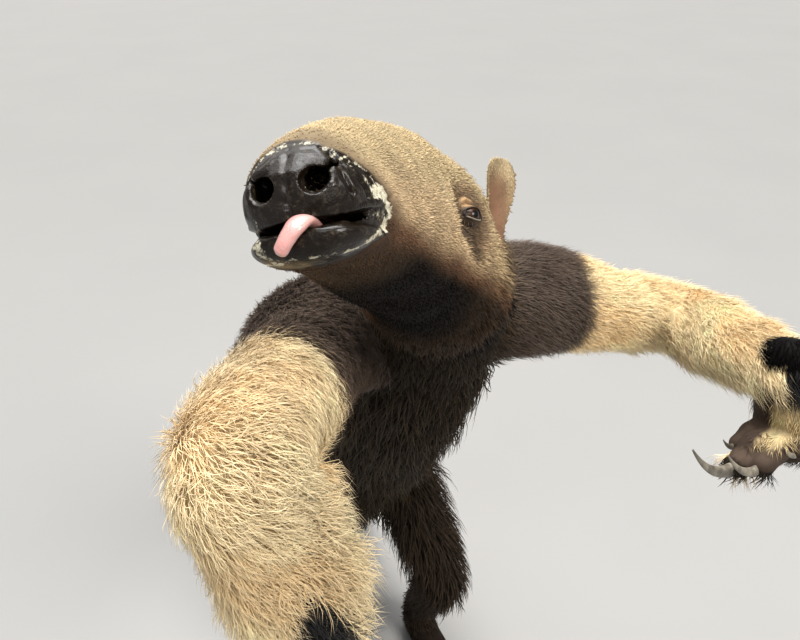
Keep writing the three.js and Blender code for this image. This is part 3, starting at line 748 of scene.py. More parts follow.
def eye_frame(sign):
    """The eyeball's centre and the axes of its opening: towards the nose, up and out."""
    out = unit(HEAD_LEFT * sign + FORWARD * 0.8 + HEAD_UP * 0.05)
    up = unit(HEAD_UP - out * HEAD_UP.dot(out))
    ahead = np.cross(up, out)
    if ahead.dot(FORWARD) < 0:
        ahead = -ahead
    return head_spot(EYE_AT, sign), ahead, up, out


def eye_place(points):
    """Each point's place round the nearer eye: towards the nose, up and out."""
    left = (points - NOSE_TIP) @ HEAD_LEFT > 0
    place = np.empty((len(points), 3))
    for sign, chosen in ((1, left), (-1, ~left)):
        centre, ahead, up, out = eye_frame(sign)
        away = points[chosen] - centre
        place[chosen] = np.stack([away @ ahead, away @ up, away @ out], 1)
    return place


def opening(place):
    """1 on the rim of the eyelids, less inside and more outside."""
    p, q = place[:, 0], place[:, 1]
    p, q = p * 0.97 + q * 0.24, q * 0.97 - p * 0.24
    tall = np.where(q > 0, 4.3, 3.9)
    return np.sqrt((p / 7.2) ** 2 + (q / tall) ** 2)


def wrist_cut(where):
    """How far down each foreleg the cream hair reaches before the black band of the wrist."""
    turn = np.degrees(where["angle"])
    notch = bell(turn - 88, 36) * limb_is(where, "arm_right")
    return np.where(limb_is(where, "arm_left"), WRIST_END["left"], WRIST_END["right"]) - 0.235 * notch


def blend(a, b, share):
    """Colours from a to b, by a share for each point."""
    return a + (b - a) * np.asarray(share)[:, None]


def body_tone(ink, where, height, drift):
    """Flanks, belly, the dark stripe with its pale lines, the hind legs and the tail."""
    t = where["t"]
    tone_at = blend(ink["flank"], ink["belly"], ramp(-0.2, -0.75, height) * 0.8)
    upper = np.interp(t, [0, 0.1, 0.3, 0.62], [0.18, 0.32, 0.62, 0.97]) + drift[:, 0] * 0.05
    lower = np.interp(t, [0, 0.16, 0.26, 0.62], [-0.5, -0.5, -0.25, 0.9]) + drift[:, 1] * 0.05
    front = ramp(0.64, 0.58, t) * limb_is(where, "trunk")
    stripe = ramp(lower - 0.05, lower + 0.05, height) * ramp(upper + 0.05, upper - 0.05, height)
    lines = bell(height - upper - 0.06, 0.055) + bell(height - lower + 0.06, 0.055)
    lines *= ramp(0.22, 0.3, t) * front
    tone_at = blend(tone_at, ink["shoulder"], stripe * front)
    tone_at = blend(tone_at, ink["line"], np.clip(lines, 0, 1) * 0.85)
    tone_at = blend(tone_at, ink["leg"], limb_is(where, "leg", "foot"))
    return blend(tone_at, ink["tail"], limb_is(where, "tail") * ramp(0.0, 0.16, t + drift[:, 1] * 0.02))


def arm_tone(ink, where, height, drift, fleck):
    """Dark shoulder, cream arm and the black band of the wrist, and where the arm is cream."""
    t = where["t"]
    slanted = SHOULDER_END["right"] + SHOULDER_SLANT * np.cos(where["angle"] - 0.6)
    cut = np.where(limb_is(where, "arm_left"), SHOULDER_END["left"], slanted)
    pale = ramp(cut - 0.012, cut + 0.012, t + drift[:, 2] * 0.012)
    tone_at = blend(ink["cream"], ink["straw"], ramp(-0.3, 1, drift[:, 0] + fleck[:, 0] * 0.4))
    outer = np.clip(-height, 0, 1) * limb_is(where, "arm_right") * ramp(0.55, 0.35, t)
    tone_at = blend(tone_at, ink["flank"], outer * 0.55)
    tone_at = blend(ink["shoulder"], tone_at, pale)
    wrist = wrist_cut(where)
    tone_at = blend(tone_at, ink["belly"], ramp(-0.01, 0.01, t - wrist + drift[:, 1] * 0.008))
    return tone_at, limb_is(where, "arm") & (pale > 0.5) & (t < wrist)


def hand_tone(ink, hand, points, drift):
    """A dark hand with a cream patch on its back and its thumb side."""
    along, into, across = hand.read(points)
    patch = np.maximum(ramp(6, 2, into), ramp(-3, 3, across + drift[:, 2] * 2))
    patch *= ramp(13, 20, along + drift[:, 0] * 3) * ramp(57, 50, along + drift[:, 1] * 3)
    tone_at = blend(ink["belly"], ink["shoulder"], ramp(6, 14, into) * ramp(8, 24, along))
    return blend(tone_at, ink["cream"], patch)


def head_level(back, up):
    """How high up the head each point is, for its place along it."""
    rise = np.interp(back, [0, 180, 300, 375], [0, 0, -11, -20])
    return (up - rise) / np.interp(back, [0, 60, 132, 225], [20, 42, 55, 58])


def head_tone(ink, points, drift, fleck):
    """Tan over the snout, brown on the cheeks, and dark under the jaw, on the throat and by the eyes; under
    the jaw and by the eyes the dark is partly painted shade.
    """
    back, left, up = in_head(points)
    level = head_level(back, up)
    face = blend(ink["cheek"], ink["face"], ramp(-0.37, -0.1, level + drift[:, 0] * 0.06))
    face = blend(face, ink["brow"], ramp(0.0, 0.7, level + drift[:, 1] * 0.12))
    # Darker under the jaw, darkest in a patch under its middle: partly the dark throat hair, partly painted
    # shade under the head.
    under_jaw = blend(ink["nape"], ink["leg"], ramp(70, 230, back) * 0.6)
    under_share = ramp(-0.36, -0.56, level + drift[:, 2] * 0.05)
    face = blend(face, under_jaw, under_share)
    dark = np.hypot((back - 165) / 92, (left - 4) / 52) + drift[:, 1] * 0.06
    face = blend(face, ink["throat"], under_share * ramp(1.3, 0.68, dark))
    skin_shows = ramp(18, 1, back - leather_edge(left, up) + fleck[:, 2] * 3)
    face = blend(face, ink["cheek"] * 0.5, skin_shows * 0.65)

    # Round the eye, darker partly by its hair and partly by painted shade in the hollow there; under the ear;
    # and the stain that runs down from the eye's front corner
    place = eye_place(points)
    deep = np.abs(place[:, 2])
    around = np.linalg.norm(place[:, :2] * (0.8, 1), axis=1) + deep * 0.3
    # Painted shade in part: darker towards the eye, over the hollow round it.
    face = blend(face, ink["cheek"], ramp(34, 18, around) * 0.8)
    face = blend(face, ink["nape"], ramp(24, 12, around) * 0.7)
    below_ear = bell(back - 290, 24) * bell(left - 58, 20) * bell(up + 3, 20)
    face = blend(face, ink["cream"], below_ear * 0.6)
    stain = line_distance(place[:, :2], ((7, -5), (7, -13), (3, -21), (-6, -27)))
    stain += np.maximum(deep - 14, 0) + drift[:, 0]
    face = blend(face, ink["leg"], ramp(9, 3, stain) * 0.68)

    # Neck
    face = blend(face, ink["nape"], ramp(275, 340, back) * ramp(-0.5, 0.2, level))
    face = blend(face, ink["throat"], ramp(325, 350, back) * ramp(0.1, -0.3, level))
    fold = bell(back - 316 - drift[:, 0] * 4, 11) * ramp(-0.35, -0.7, level)
    return blend(face, ink["nape"], fold * 0.5)


def ear_tone(ink, points, where):
    """A pale rim round a cup darkened by painted shade."""
    tone_at = blend(ink["ear"], ink["brow"], ramp(0.45, 0.9, where["t"]))
    # Painted shade deep in the cup.
    return blend(tone_at, ink["cheek"] * 0.75, ear_hollow(points) * 0.9)


def markings(points, where):
    """The coat's colour at its tips, and at its roots, which are darkened as painted shade between the tufts.
    """
    ink = palette()
    drift = wander(points, 60, 5)
    fleck = wander(points, 14, 6)
    height = np.sin(where["angle"])
    arm, pale_arm = arm_tone(ink, where, height, drift, fleck)
    parts = [("arm", arm)]
    parts += [("hand_" + side, hand_tone(ink, hand, points, drift)) for side, hand in HAND_PARTS.items()]
    parts += [("skull", head_tone(ink, points, drift, fleck)), ("ear", ear_tone(ink, points, where))]
    tone_at = body_tone(ink, where, height, drift)
    for name, own_tone in parts:
        tone_at = np.where(limb_is(where, name)[:, None], own_tone, tone_at)
    shade = 1 + 0.14 * fleck[:, 1] + 0.08 * drift[:, 1]
    tone_at = np.clip(tone_at * shade[:, None], 0.002, 0.95)

    # Pale ends of the dark hair, the cream hair with its own tips, and roots darkened as painted shade
    # between the tufts
    back, _, up = in_head(points)
    frost = np.where(tone_at.mean(1) < 0.06, 0.05, 0.2) * limb_is(where, "trunk", "leg")
    frost = frost + ramp(-0.3, 0.3, head_level(back, up)) * limb_is(where, "skull", "ear") * 0.28
    tips = blend(tone_at, ink["grizzle"], frost)
    tips = np.where(pale_arm[:, None], between(tone_at, ink["tip"], 0.5), tips)
    # Painted shade: the roots are darker than the tips, least on the cream arms.
    pale_root_shade = np.where(limb_is(where, "arm_left"), 1.0, 0.85)
    roots = tone_at * np.where(pale_arm, pale_root_shade, 0.45)[:, None]
    return roots, tips


# Skin
def mouth_gap():
    """The open mouth: a lens that thins towards its corners."""
    turn = round_turn(56)
    back = np.linspace(-12, 41, 46)[:, None]
    left = 35 * np.cos(turn) * np.ones_like(back)
    spread = [0, 18, 25, 31, 36]
    middle = np.interp(np.abs(left), spread, [-13.2, -11.8, -8.5, -4.4, -1.5])
    half = np.interp(np.abs(left), spread, [3.0, 2.2, 1.7, 1.35, 1.1])
    depth = np.sqrt(np.maximum(1 - ((back + 12) / 53) ** 8, 0)) * 0.85 + 0.15
    up = middle + half * depth * np.sign(np.sin(turn)) * np.sqrt(np.abs(np.sin(turn)))
    across = left[..., None] * HEAD_LEFT + up[..., None] * HEAD_UP
    return NOSE_TIP - back[..., None] * FORWARD + across


def nostril_cuts(sign):
    """A round opening with a narrow slit that runs out and up from it."""
    inward = unit(-FORWARD - HEAD_LEFT * sign * 0.12 + HEAD_UP * 0.1)
    across = unit(HEAD_LEFT * sign + FORWARD * 0.2)
    rise = unit(np.cross(inward, across))
    hole = ball_grid(head_point(4, sign * 10.8, 4.3), (6.6, 5.9, 24), (across, rise, inward))
    leaning = unit(across * 0.78 + rise * 0.62 * np.sign(rise.dot(HEAD_UP)))
    slit_axes = (leaning, unit(np.cross(inward, leaning)), inward)
    return hole, ball_grid(head_point(7.5, sign * 16.0, 9.0), (5.4, 1.7, 8), slit_axes)


def mirrored_head(points):
    """Back, distance from the middle and up, one row for each point."""
    back, left, up = in_head(points)
    return np.stack([back, np.abs(left), up], 1)


CREASES = (
    # line of back, out, up; width; depth
    (((9.8, 13.4, 18), (7.1, 18.1, 11.3), (7, 22.1, 3.8), (8.3, 23.7, -2)), 1.3, 2.0),
    (((9, 17.5, 16), (9, 21, 10.4), (11.7, 24.3, 6.9), (16.6, 26.7, 1.6), (19.5, 27.7, -3)), 1.4, 1.8),
    (((21, 24, 13), (22, 28, 4), (25, 29, -3)), 1.1, 0.9),
    (((-2, 0, -9), (-3, 0, 2), (0, 0, 12), (6, 0, 20)), 1.7, 0.8),
    (((37, 31, -2), (44, 33, 1), (50, 34, 5)), 0.9, 0.9),
    (((37, 31, -5), (45, 32, -6), (52, 33, -7)), 0.9, 1.1),
    (((36, 30, -8), (42, 30, -13), (46, 28, -19)), 0.9, 0.9),
    (((20, 27, -12), (30, 30, -12), (36, 30, -9)), 1.0, 0.9),
    (((4, 8, -22), (12, 18, -20), (22, 25, -18), (34, 28, -16)), 1.2, 0.8),
)
RIDGES = (
    (((1.7, 4.1, 4), (1.1, 10.3, -3.2), (3, 17.5, 1), (6, 18.6, 6)), 1.6, 1.3),
    (((2, 4, 4), (3, 8, 11), (6, 14, 12)), 1.6, 1.1),
    (((10.5, 10.5, 19), (5.5, 15.6, 11), (5, 19.8, 3.8), (6.3, 21.4, -3)), 1.6, 0.8),
    (((-0.5, 0, -10), (-1, 4.9, -10), (6, 18, -9.9), (15.6, 25, -6.9), (30, 30, -3)), 1.4, 1.0),
    (((0.5, 0, -16.6), (1, 5.1, -16.3), (8, 18, -14), (23.6, 27.1, -7.2), (34, 31, -5)), 1.5, 1.2),
)
CRUSTS = (
    # line of back, out, up; reach in full, reach at all; strength
    (
        ((26, 28, 1), (33, 30, 1), (38, 30.3, -1), (43, 31.3, -5), (43.5, 30.5, -9), (39, 28.5, -13)),
        1.6,
        5.2,
        0.95,
    ),
    (((39, 28.5, -13), (30, 28, -16), (22, 26.6, -19.5), (12, 17, -24), (5, 4, -25)), 0.6, 2.6, 0.75),
    (((22, 27, -12), (28, 29, -10.5), (36, 30, -9)), 0.8, 3.4, 0.6),
    # The nostril's lower rim: partly crust, partly a painted highlight.
    (((1.7, 4.1, 4), (1.1, 10.3, -3.2), (3, 17.5, 1)), 0.4, 1.8, 0.42),
    (((11, 20, 13), (15, 24, 8), (21, 27.5, 3)), 0.4, 2.0, 0.55),
)


def shape_muzzle(piece):
    """Folds round the nostrils, lip rims, wrinkles behind the mouth, and the step to the fur."""
    points = points_of(piece)
    back, left, up = in_head(points)
    near = (back < 75) & (back > -20) & (np.abs(left) < 60)
    spot = mirrored_head(points[near])
    push = np.zeros(near.sum())
    for line, width, depth in CREASES:
        push -= depth * bell(line_distance(spot, line), width)
    for line, width, height in RIDGES:
        push += height * bell(line_distance(spot, line), width)
    edge = leather_edge(left[near], up[near])
    push += 0.9 * ramp(edge - 1.2, edge + 1.2, back[near])
    pits = wander(points[near], 5, 21)[:, 0]
    push += pits * 0.18 * ramp(edge, edge - 6, back[near])
    points[near] += normals_of(piece)[near] * push[:, None]
    set_points(piece, points)


def shape_eyes(piece):
    """The eyelids as folds over the eyeball, in a hollow that lets the eye look forward."""
    points = points_of(piece)
    place = eye_place(points)
    round_eye = np.linalg.norm(place[:, :2], axis=1)
    near = (round_eye < 40) & (np.abs(place[:, 2]) < 26)
    p, q, h = place[near].T
    rim = opening(place[near])
    r = np.minimum(round_eye[near], EYE_RADIUS * 0.995)
    ball = np.sqrt(EYE_RADIUS**2 - r * r)
    front = 3.5 + 0.30 * np.maximum(p - 9, 0)
    hollow = ramp(EYE_HOLLOW, 12, np.hypot(np.maximum(p - 6, 0) * 0.8, q * 1.15)) * (p > -4)
    h = np.where(h > front, h + (front - h) * hollow, h)
    lid = np.maximum(ball, 4.6 - 0.25 * np.maximum(r - 8.5, 0)) + 1.2
    lid += 0.7 * bell(rim - 1.16, 0.12)
    share = ramp(2.3, 1.25, rim)
    h = h + (lid - h) * share
    plane = np.stack([p, q], 1)
    folds = (
        # line towards the nose and up, width, height
        (((11, 1), (8.5, 6.6), (2, 9.2), (-6, 8.4), (-11.5, 3)), 1.0, -1.5),
        (((12, 3), (9, 9.4), (2, 12.2), (-7, 11.4), (-13, 5)), 1.7, 1.5),
        (((12, 8), (8, 13.5), (0, 15.5), (-8, 14)), 1.2, -1.0),
        (((10, -3), (5, -7.6), (-3, -8.2), (-10, -4)), 1.0, -1.0),
        (((11, -6), (5, -11), (-3, -12), (-10, -9)), 1.3, 0.7),
        (((8, -1), (11, -6), (12, -14), (11, -24)), 1.7, -1.3),
    )
    for line, width, height in folds:
        h = h + height * bell(line_distance(plane, line), width)
    h = np.where(rim < 1, h + (np.minimum(ball - 3.5, h) - h) * ramp(1.0, 0.88, rim), h)
    left = (points[near] - NOSE_TIP) @ HEAD_LEFT > 0
    rise = (h - place[near][:, 2])[:, None]
    points[near] += np.where(left[:, None], eye_frame(1)[3], eye_frame(-1)[3]) * rise
    set_points(piece, points)


def thin_out(piece, chosen, ratio):
    """Fewer faces where the points are chosen."""
    group = piece.vertex_groups.new(name="plain")
    group.add(np.flatnonzero(chosen).tolist(), 1.0, "REPLACE")
    made = piece.modifiers.new("fewer", "DECIMATE")
    made.ratio = ratio
    made.vertex_group = group.name
    settle(piece)
    piece.vertex_groups.clear()


def make_head(voxel):
    head = piece_of_shells("head_form", [SKULL.grid(96, 200)])
    combine(head, piece_of_shells("jaw", [JAW.grid(72, 60)]), "UNION")
    for sign in SIDES.values():
        combine(head, piece_of_shells("ear_form", [ear_grid(sign)]), "UNION")
    combine(head, piece_of_shells("mouth_form", [mouth_gap()]), "DIFFERENCE")
    for sign in SIDES.values():
        for cut in nostril_cuts(sign):
            combine(head, piece_of_shells("nostril_form", [cut]), "DIFFERENCE")
    even(head, voxel * MM, 2)
    points = points_of(head)
    back = in_head(points)[0]
    eye_room = np.linalg.norm(eye_place(points), axis=1) < EYE_HOLLOW
    ears = limb_is(BODY.read(points), "ear")
    thin_out(head, (back > 62) & ~eye_room & ~ears, 0.3)
    points = points_of(head)
    lids = np.linalg.norm(eye_place(points), axis=1) < LID_REACH
    refine(head, (in_head(points)[0] < 44) | lids)
    shape_muzzle(head)
    shape_eyes(head)
    return head


def make_paws(voxel):
    grids = []
    for side, sign in SIDES.items():
        hand = HAND_PARTS[side]
        grids.append(hand.flesh().grid(40, 40))
        grids += [hand.digit(key).grid(24, 24) for key in DIGITS]
        grids.append(FEET[side].grid(40, 40))
        grids += [toe_parts(sign, key)[0].grid(24, 20) for key in TOE_SIZES]
    return even(piece_of_shells("paws_form", grids), voxel * MM, 3)


def make_trunk(voxel):
    grids = [TRUNK.grid(56, 90), TAIL.grid(40, 110)]
    for side in SIDES:
        grids += [ARMS[side].grid(44, 70), LEGS[side].grid(44, 70)]
    return even(piece_of_shells("trunk_form", grids), voxel * MM, 6)


def flesh_nodes():
    """The solids that the skin stands for: all but the eyes, the tongue and the claws."""
    return [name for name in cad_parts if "claw" not in name and not name.startswith(("eye", "tongue"))]


def mark_skin(piece):
    """The markings with painted shade under the coat, in the ears' cups and inside the mouth and the
    nostrils, and where the skin is leather, wet, crusted or bare, as two colour attributes.
    """
    ink = palette()
    points = points_of(piece)
    where = BODY.read(points)
    roots, tips = markings(points, where)
    # The skin is painted darker than the hair over it, as painted shade in the gaps between the tufts.
    tone_at = roots * 0.55 + tips * 0.25
    back, left, up = in_head(points)
    on_head = limb_is(where, "skull", "ear")
    edge = leather_edge(left, up)
    patchy = wander(points, 7, 31)
    spot = mirrored_head(points)

    # Black leather outside, and the inside of the mouth and the nostrils, painted near-black as painted shade
    backs, *columns = zip(*SKULL_ROWS)
    rise, side, top = (np.interp(back, backs, column) for column in columns[:3])
    deep = np.hypot(left / side, (up - rise) / top)
    inside = ramp(0.86, 0.74, deep) * ramp(1, 5, back) * (back < 62) * (up > -19) * on_head
    leather = ramp(edge + 1, edge - 1, back + patchy[:, 0] * 0.8) * on_head * (back < 80)
    leather = np.maximum(leather, inside)

    # Dark lids, a pale bare patch over the eye and a pale rim under it
    place = eye_place(points)
    rim = opening(place)
    at_eye = (np.linalg.norm(place, axis=1) < BARE_REACH) & on_head
    bare = ramp(1.5, 1.2, rim) * at_eye
    tone_at = blend(tone_at, ink["leather"], leather)
    tone_at = blend(tone_at, ink["eyelid"], bare)
    patch = np.exp(-(((place[:, 0] - 1) / 7.5) ** 4) - (((place[:, 1] - 9.6) / 3.9) ** 4)) * at_eye
    tone_at = blend(tone_at, ink["bare"], np.clip(patch * 1.3, 0, 1))
    lower_rim = bell(rim - 1.1, 0.08) * ramp(-0.6, -1.8, place[:, 1]) * at_eye
    lower_rim *= ramp(-6.6, -4.2, place[:, 0])
    tone_at = blend(tone_at, ink["crust"], lower_rim * 0.42)
    # Painted shade deep in the cups of the ears.
    hollow = ear_hollow(points) * limb_is(where, "ear")
    tone_at = blend(tone_at, ink["cheek"] * 0.75, hollow * 0.9)
    # Painted shade: the inside of the mouth and the nostrils near-black.
    tone_at = blend(tone_at, ink["pupil"], inside)

    # Dried crust along the leather's edge, on the lips and on the nose; along the top of the edge and on the
    # nostrils' lower rims the pale is partly crust and partly a painted highlight
    crust = bell(back - edge + 1.6, 1.6) * ramp(-4, 3, up) * (0.34 + 0.2 * patchy[:, 1])
    for line, near, far, strength in CRUSTS:
        crust += ramp(far, near, line_distance(spot, line)) * strength
    right_lip = line_distance(spot, ((1, 18.5, -9), (3, 19.5, -14), (4, 17.5, -20), (7, 12, -24)))
    crust += ramp(4.2, 1.0, right_lip) * 0.7 * (left < 0)
    crust = np.clip(crust, 0, 1) * leather * (1 - inside)
    set_colour(piece, "Tone", tone_at)
    set_colour(piece, "Finish", np.stack([leather, np.clip(bare + inside, 0, 1), crust], 1))


def set_colour(piece, name, values):
    layer = piece.data.color_attributes.new(name, "FLOAT_COLOR", "POINT")
    rows = np.ones((len(values), 4), np.float32)
    rows[:, :3] = values
    layer.data.foreach_set("color", rows.ravel())


# Coat
ATLAS_COLUMNS = 4
ATLAS_MARGIN = 0.03
TUFT_PATCH = 0.003  # a tuft's own width on the map

# What a plan of the coat holds for each point
SPACING, LENGTH, WIDTH, LIFT, DROOP, SPREAD, SEGMENTS, PART = range(8)
BARE = 1e6  # a spacing at which no tuft grows
COAT_PARTS = (
    # piece, material slot
    ("coat_face_left", "face"),
    ("coat_face_right", "face"),
    ("coat_neck", "dark_coat"),
    ("coat_chest", "dark_coat"),
    ("coat_flank_left", "dark_coat"),
    ("coat_flank_right", "dark_coat"),
    ("coat_upper_arm_left", "pale_coat"),
    ("coat_upper_arm_right", "pale_coat"),
    ("coat_elbow_right", "pale_coat"),
    ("coat_forearm_front_right", "pale_coat"),
    ("coat_forearm_left", "pale_coat"),
    ("coat_forearm_right", "pale_coat"),
    ("coat_leg_left", "dark_coat"),
    ("coat_leg_right", "dark_coat"),
    ("coat_paws", "dark_coat"),
    ("coat_tail_upper", "dark_coat"),
    ("coat_tail_lower", "dark_coat"),
)


PART_NUMBERS = {name: number for number, (name, _) in enumerate(COAT_PARTS)}


def either(chosen, first, second):
    """The number of one coat part where chosen, and of another elsewhere."""
    return np.where(chosen, PART_NUMBERS[first], PART_NUMBERS[second])


def comb(plan, chosen, *values):
    """The plan's columns filled in where chosen, each by one value or by one for each point."""
    for column, value in enumerate(values):
        plan[chosen, column] = value if np.isscalar(value) else value[chosen]


def comb_trunk(plan, points, where, height):
    """Short on the shoulders, longer along the back and the flanks, a mane along the ridge."""
    t = where["t"]
    long_back = np.interp(t, [0, 0.12, 0.35, 0.7, 1], [20, 26, 60, 84, 94])
    ridge = ramp(0.55, 0.95, height) * np.interp(t, [0, 0.1, 0.3, 0.8, 1], [0, 16, 48, 42, 20])
    flank = ramp(0.1, -0.6, height) * np.interp(t, [0, 0.2, 0.6, 1], [0, 0, 18, 24])
    length = long_back * (0.85 + 0.15 * height) + ridge + flank
    spacing = np.interp(t, [0, 0.12, 0.25, 0.5], [3.0, 3.4, 5.6, 6.8])
    width = np.interp(length, [20, 60, 120], [1.1, 2.1, 3.0])
    flanks = either(points[:, 0] > MIDLINE, "coat_flank_left", "coat_flank_right")
    part = np.where(t < 0.14, PART_NUMBERS["coat_chest"], flanks)
    droop = 0.05 + 0.0006 * length
    comb(plan, limb_is(where, "trunk"), spacing, length, width, np.radians(24), droop, 0.2, 4, part)


def comb_arms(plan, points, where, height):
    """Fine even hair on the left arm, and rougher tousled hair on the right one."""
    t = where["t"]
    length = np.interp(t, [0, 0.2, 0.3, 0.5, 0.8, 0.88, 1], [17, 17, 21, 25, 26, 22, 16])
    below = length * (1 + 0.35 * np.clip(-height, 0, 1))
    part = either(t < 0.44, "coat_upper_arm_left", "coat_forearm_left")
    comb(plan, limb_is(where, "arm_left"), 2.35, below, 0.85, np.radians(24), 0.04, 0.3, 2, part)

    arm = limb_is(where, "arm_right")
    outer = ramp(30, 58, points[:, 0]) * ramp(0.42, 0.55, t)
    front = (t > 0.27) & (t < 0.78) & (np.degrees(where["angle"]) > -60)
    part = either(t < 0.44, "coat_upper_arm_right", "coat_forearm_right")
    part[front] = PART_NUMBERS["coat_forearm_front_right"]
    part[front & (t < 0.47)] = PART_NUMBERS["coat_elbow_right"]
    lift = np.radians(34) + 0.35 * outer
    comb(plan, arm, 1.95, length + 17 * outer, 0.8, lift, 0.05, 0.42, 3, part)
    comb(plan, arm & ~front, 1.95 * 1.06, length, 0.9, np.radians(34), 0.05, 0.5, 2, part)


def comb_legs(plan, points, where):
    """Long on the thighs, short on the feet and the hands."""
    t = where["t"]
    length = np.interp(t, [0, 0.3, 0.6, 0.85, 1], [84, 66, 42, 26, 14])
    spacing = np.interp(t, [0, 0.4, 1], [6.8, 5.2, 3.9])
    part = either(limb_is(where, "leg_left"), "coat_leg_left", "coat_leg_right")
    comb(plan, limb_is(where, "leg"), spacing, length, 2.0, np.radians(22), 0.07, 0.22, 3, part)
    paws = PART_NUMBERS["coat_paws"]
    foot_length = np.interp(points[:, 1], [680, 720, 850], [6, 9, 15])
    comb(plan, limb_is(where, "foot"), 3.3, foot_length, 1.3, np.radians(10), 0.03, 0.25, 2, paws)
    comb(plan, limb_is(where, "hand"), 2.3, 14.0, 0.95, np.radians(15), 0.02, 0.28, 2, paws)


def comb_tail(plan, where, height):
    """A wide fringe that hangs to both sides and lies on the floor."""
    t = where["t"]
    length = np.interp(t, [0, 0.12, 0.3, 0.75, 1], [92, 120, 200, 235, 172])
    length = length * (0.5 + 0.5 * np.abs(np.cos(where["angle"])))
    part = either(height > 0, "coat_tail_upper", "coat_tail_lower")
    comb(plan, limb_is(where, "tail"), 4.6, length, 2.6, np.radians(24), 0.14, 0.24, 4, part)


def comb_head(plan, points, where, height):
    """Very short on the snout, longer towards the neck, and bare on the muzzle and round the eyes."""
    back, left, up = in_head(points)
    skull, ears = limb_is(where, "skull"), limb_is(where, "ear")
    length = np.interp(back, [20, 60, 130, 220, 270, 320, 375], [2.8, 3.8, 5.4, 7.5, 11, 17, 24])
    spacing = np.interp(back, [60, 150, 240, 300, 370], [1.75, 1.85, 2.1, 2.7, 3.4])
    width = np.interp(back, [40, 150, 240, 340], [0.62, 0.72, 0.9, 1.3])
    lift = np.radians(np.interp(back, [20, 60, 200, 320], [34, 28, 26, 22]))
    part = either(left > 0, "coat_face_left", "coat_face_right")
    comb(plan, ears, 1.6, 3.4, 0.6, np.radians(6), 0.0, 0.12, 2, part)
    comb(plan, ears & (height > 0), 1.7, 3.6, 0.6, np.radians(17), 0.0, 0.12, 2, part)
    plan[ears & (np.abs(np.cos(where["angle"])) > 0.85), LENGTH] = 1.5
    part = np.where(back > 285, PART_NUMBERS["coat_neck"], part)
    comb(plan, skull, spacing, length, width, lift, 0.0, 0.17, 2, part)

    # Thinner towards the leather, shorter round the eyes, on the roots of the ears, longer on the throat
    edge = leather_edge(left, up)
    thin = skull & (back < edge + 16)
    share = ramp(16, 1, back - edge)[thin]
    plan[thin, SPACING] *= 1 + 0.45 * share
    plan[thin, LENGTH] *= 1 - 0.35 * share
    place = eye_place(points)
    at_eye = skull & (np.linalg.norm(place, axis=1) < BARE_REACH)
    plan[at_eye & (opening(place) < 3.0), LENGTH] *= 0.55
    for sign in SIDES.values():
        root, _, ear_up, _ = ear_frame(sign)
        away = points - root
        rise = away @ ear_up
        beside = np.linalg.norm(away - rise[:, None] * ear_up, axis=1)
        plan[skull & (rise > 1) & (rise < EAR_LENGTH + 10) & (beside < 20), LENGTH] = 2.6
    plan[skull & (back > 210) & (up < -35), LENGTH] *= 1.35
    bald = skull & (back < edge + 0.5)
    bald |= at_eye & (opening(place) < 1.5)
    bald |= at_eye & (np.abs(place[:, 0] - 1) < 8) & (place[:, 1] > 3) & (place[:, 1] < 13.5)
    plan[bald, SPACING] = BARE


def grooming(points, where):
    """The plan of the coat, one row for each point."""
    height = np.sin(where["angle"])
    plan = np.zeros((len(points), 8))
    comb_trunk(plan, points, where, height)
    comb_arms(plan, points, where, height)
    comb_legs(plan, points, where)
    comb_tail(plan, where, height)
    comb_head(plan, points, where, height)
    plan[:, LENGTH] *= 1 + 0.13 * wander(points, 45, 12)[:, 0]

    # Bare palms and soles
    for side, hand in HAND_PARTS.items():
        along, into, across = hand.read(points)
        under = limb_is(where, "hand_" + side) & (into > 9) & (along > 2)
        plan[under & ((across < -6) | (along > 57)), SPACING] = BARE
    plan[limb_is(where, "foot") & (points[:, 2] < 6), SPACING] = BARE
    return plan


def scatter(points, triangles, per_area, rng):
    """Roots spread over the triangles, so many to each unit of area."""
    a, b, c = (points[triangles[:, k]] for k in range(3))
    cross = np.cross(b - a, c - a)
    area = np.linalg.norm(cross, axis=1) / 2
    total = np.cumsum(area * per_area) + rng.uniform()
    steps = np.diff(np.floor(np.concatenate([[0], total]))).astype(int)
    chosen = np.repeat(np.arange(len(triangles)), steps)
    u, v = rng.uniform(size=(2, len(chosen)))
    flip = u + v > 1
    u[flip], v[flip] = 1 - u[flip], 1 - v[flip]
    roots = a[chosen] + (b - a)[chosen] * u[:, None] + (c - a)[chosen] * v[:, None]
    return roots, chosen


def turned(direction, axis, angle):
    """Directions turned about their own axes."""
    cosine, sine = np.cos(angle)[:, None], np.sin(angle)[:, None]
    dot = (direction * axis).sum(1)[:, None]
    return direction * cosine + np.cross(axis, direction) * sine + axis * dot * (1 - cosine)


def lie_of(points, where, normals):
    """The way the coat runs over the skin."""
    back = in_head(points)[0]
    lie = where["lie"].copy()
    height = np.sin(where["angle"])
    trunk = limb_is(where, "trunk")
    lie[trunk] += DOWN * (0.75 * np.clip(1 - np.abs(height[trunk]), 0, 1) + 0.15)[:, None]
    legs = limb_is(where, "leg")
    lie[legs] += np.array([0, 0.35, -0.1])
    arm = limb_is(where, "arm")
    sag = np.clip(1 - np.abs(where["lie"][arm] @ UP), 0, 1) * 0.5
    lie[arm] += DOWN * sag[:, None]
    right = limb_is(where, "arm_right")
    across = np.interp(where["t"], [0.2, 0.45, 0.62, 0.85], [0.5, 1.5, 1.0, 0.1])
    lie[right] += np.array([1.0, 0.1, 0.05]) * across[right][:, None]
    tail = limb_is(where, "tail")
    outward = where["out"] * np.array([1.0, 0.35, 0.25])
    lie[tail] += outward[tail] * 0.75 + np.array([0, 0, -0.25])
    skull = limb_is(where, "skull")
    lie[skull] += DOWN * (ramp(180, 300, back[skull]) * 0.25)[:, None]
    flat = lie - normals * (lie * normals).sum(1)[:, None]
    return unit(flat)


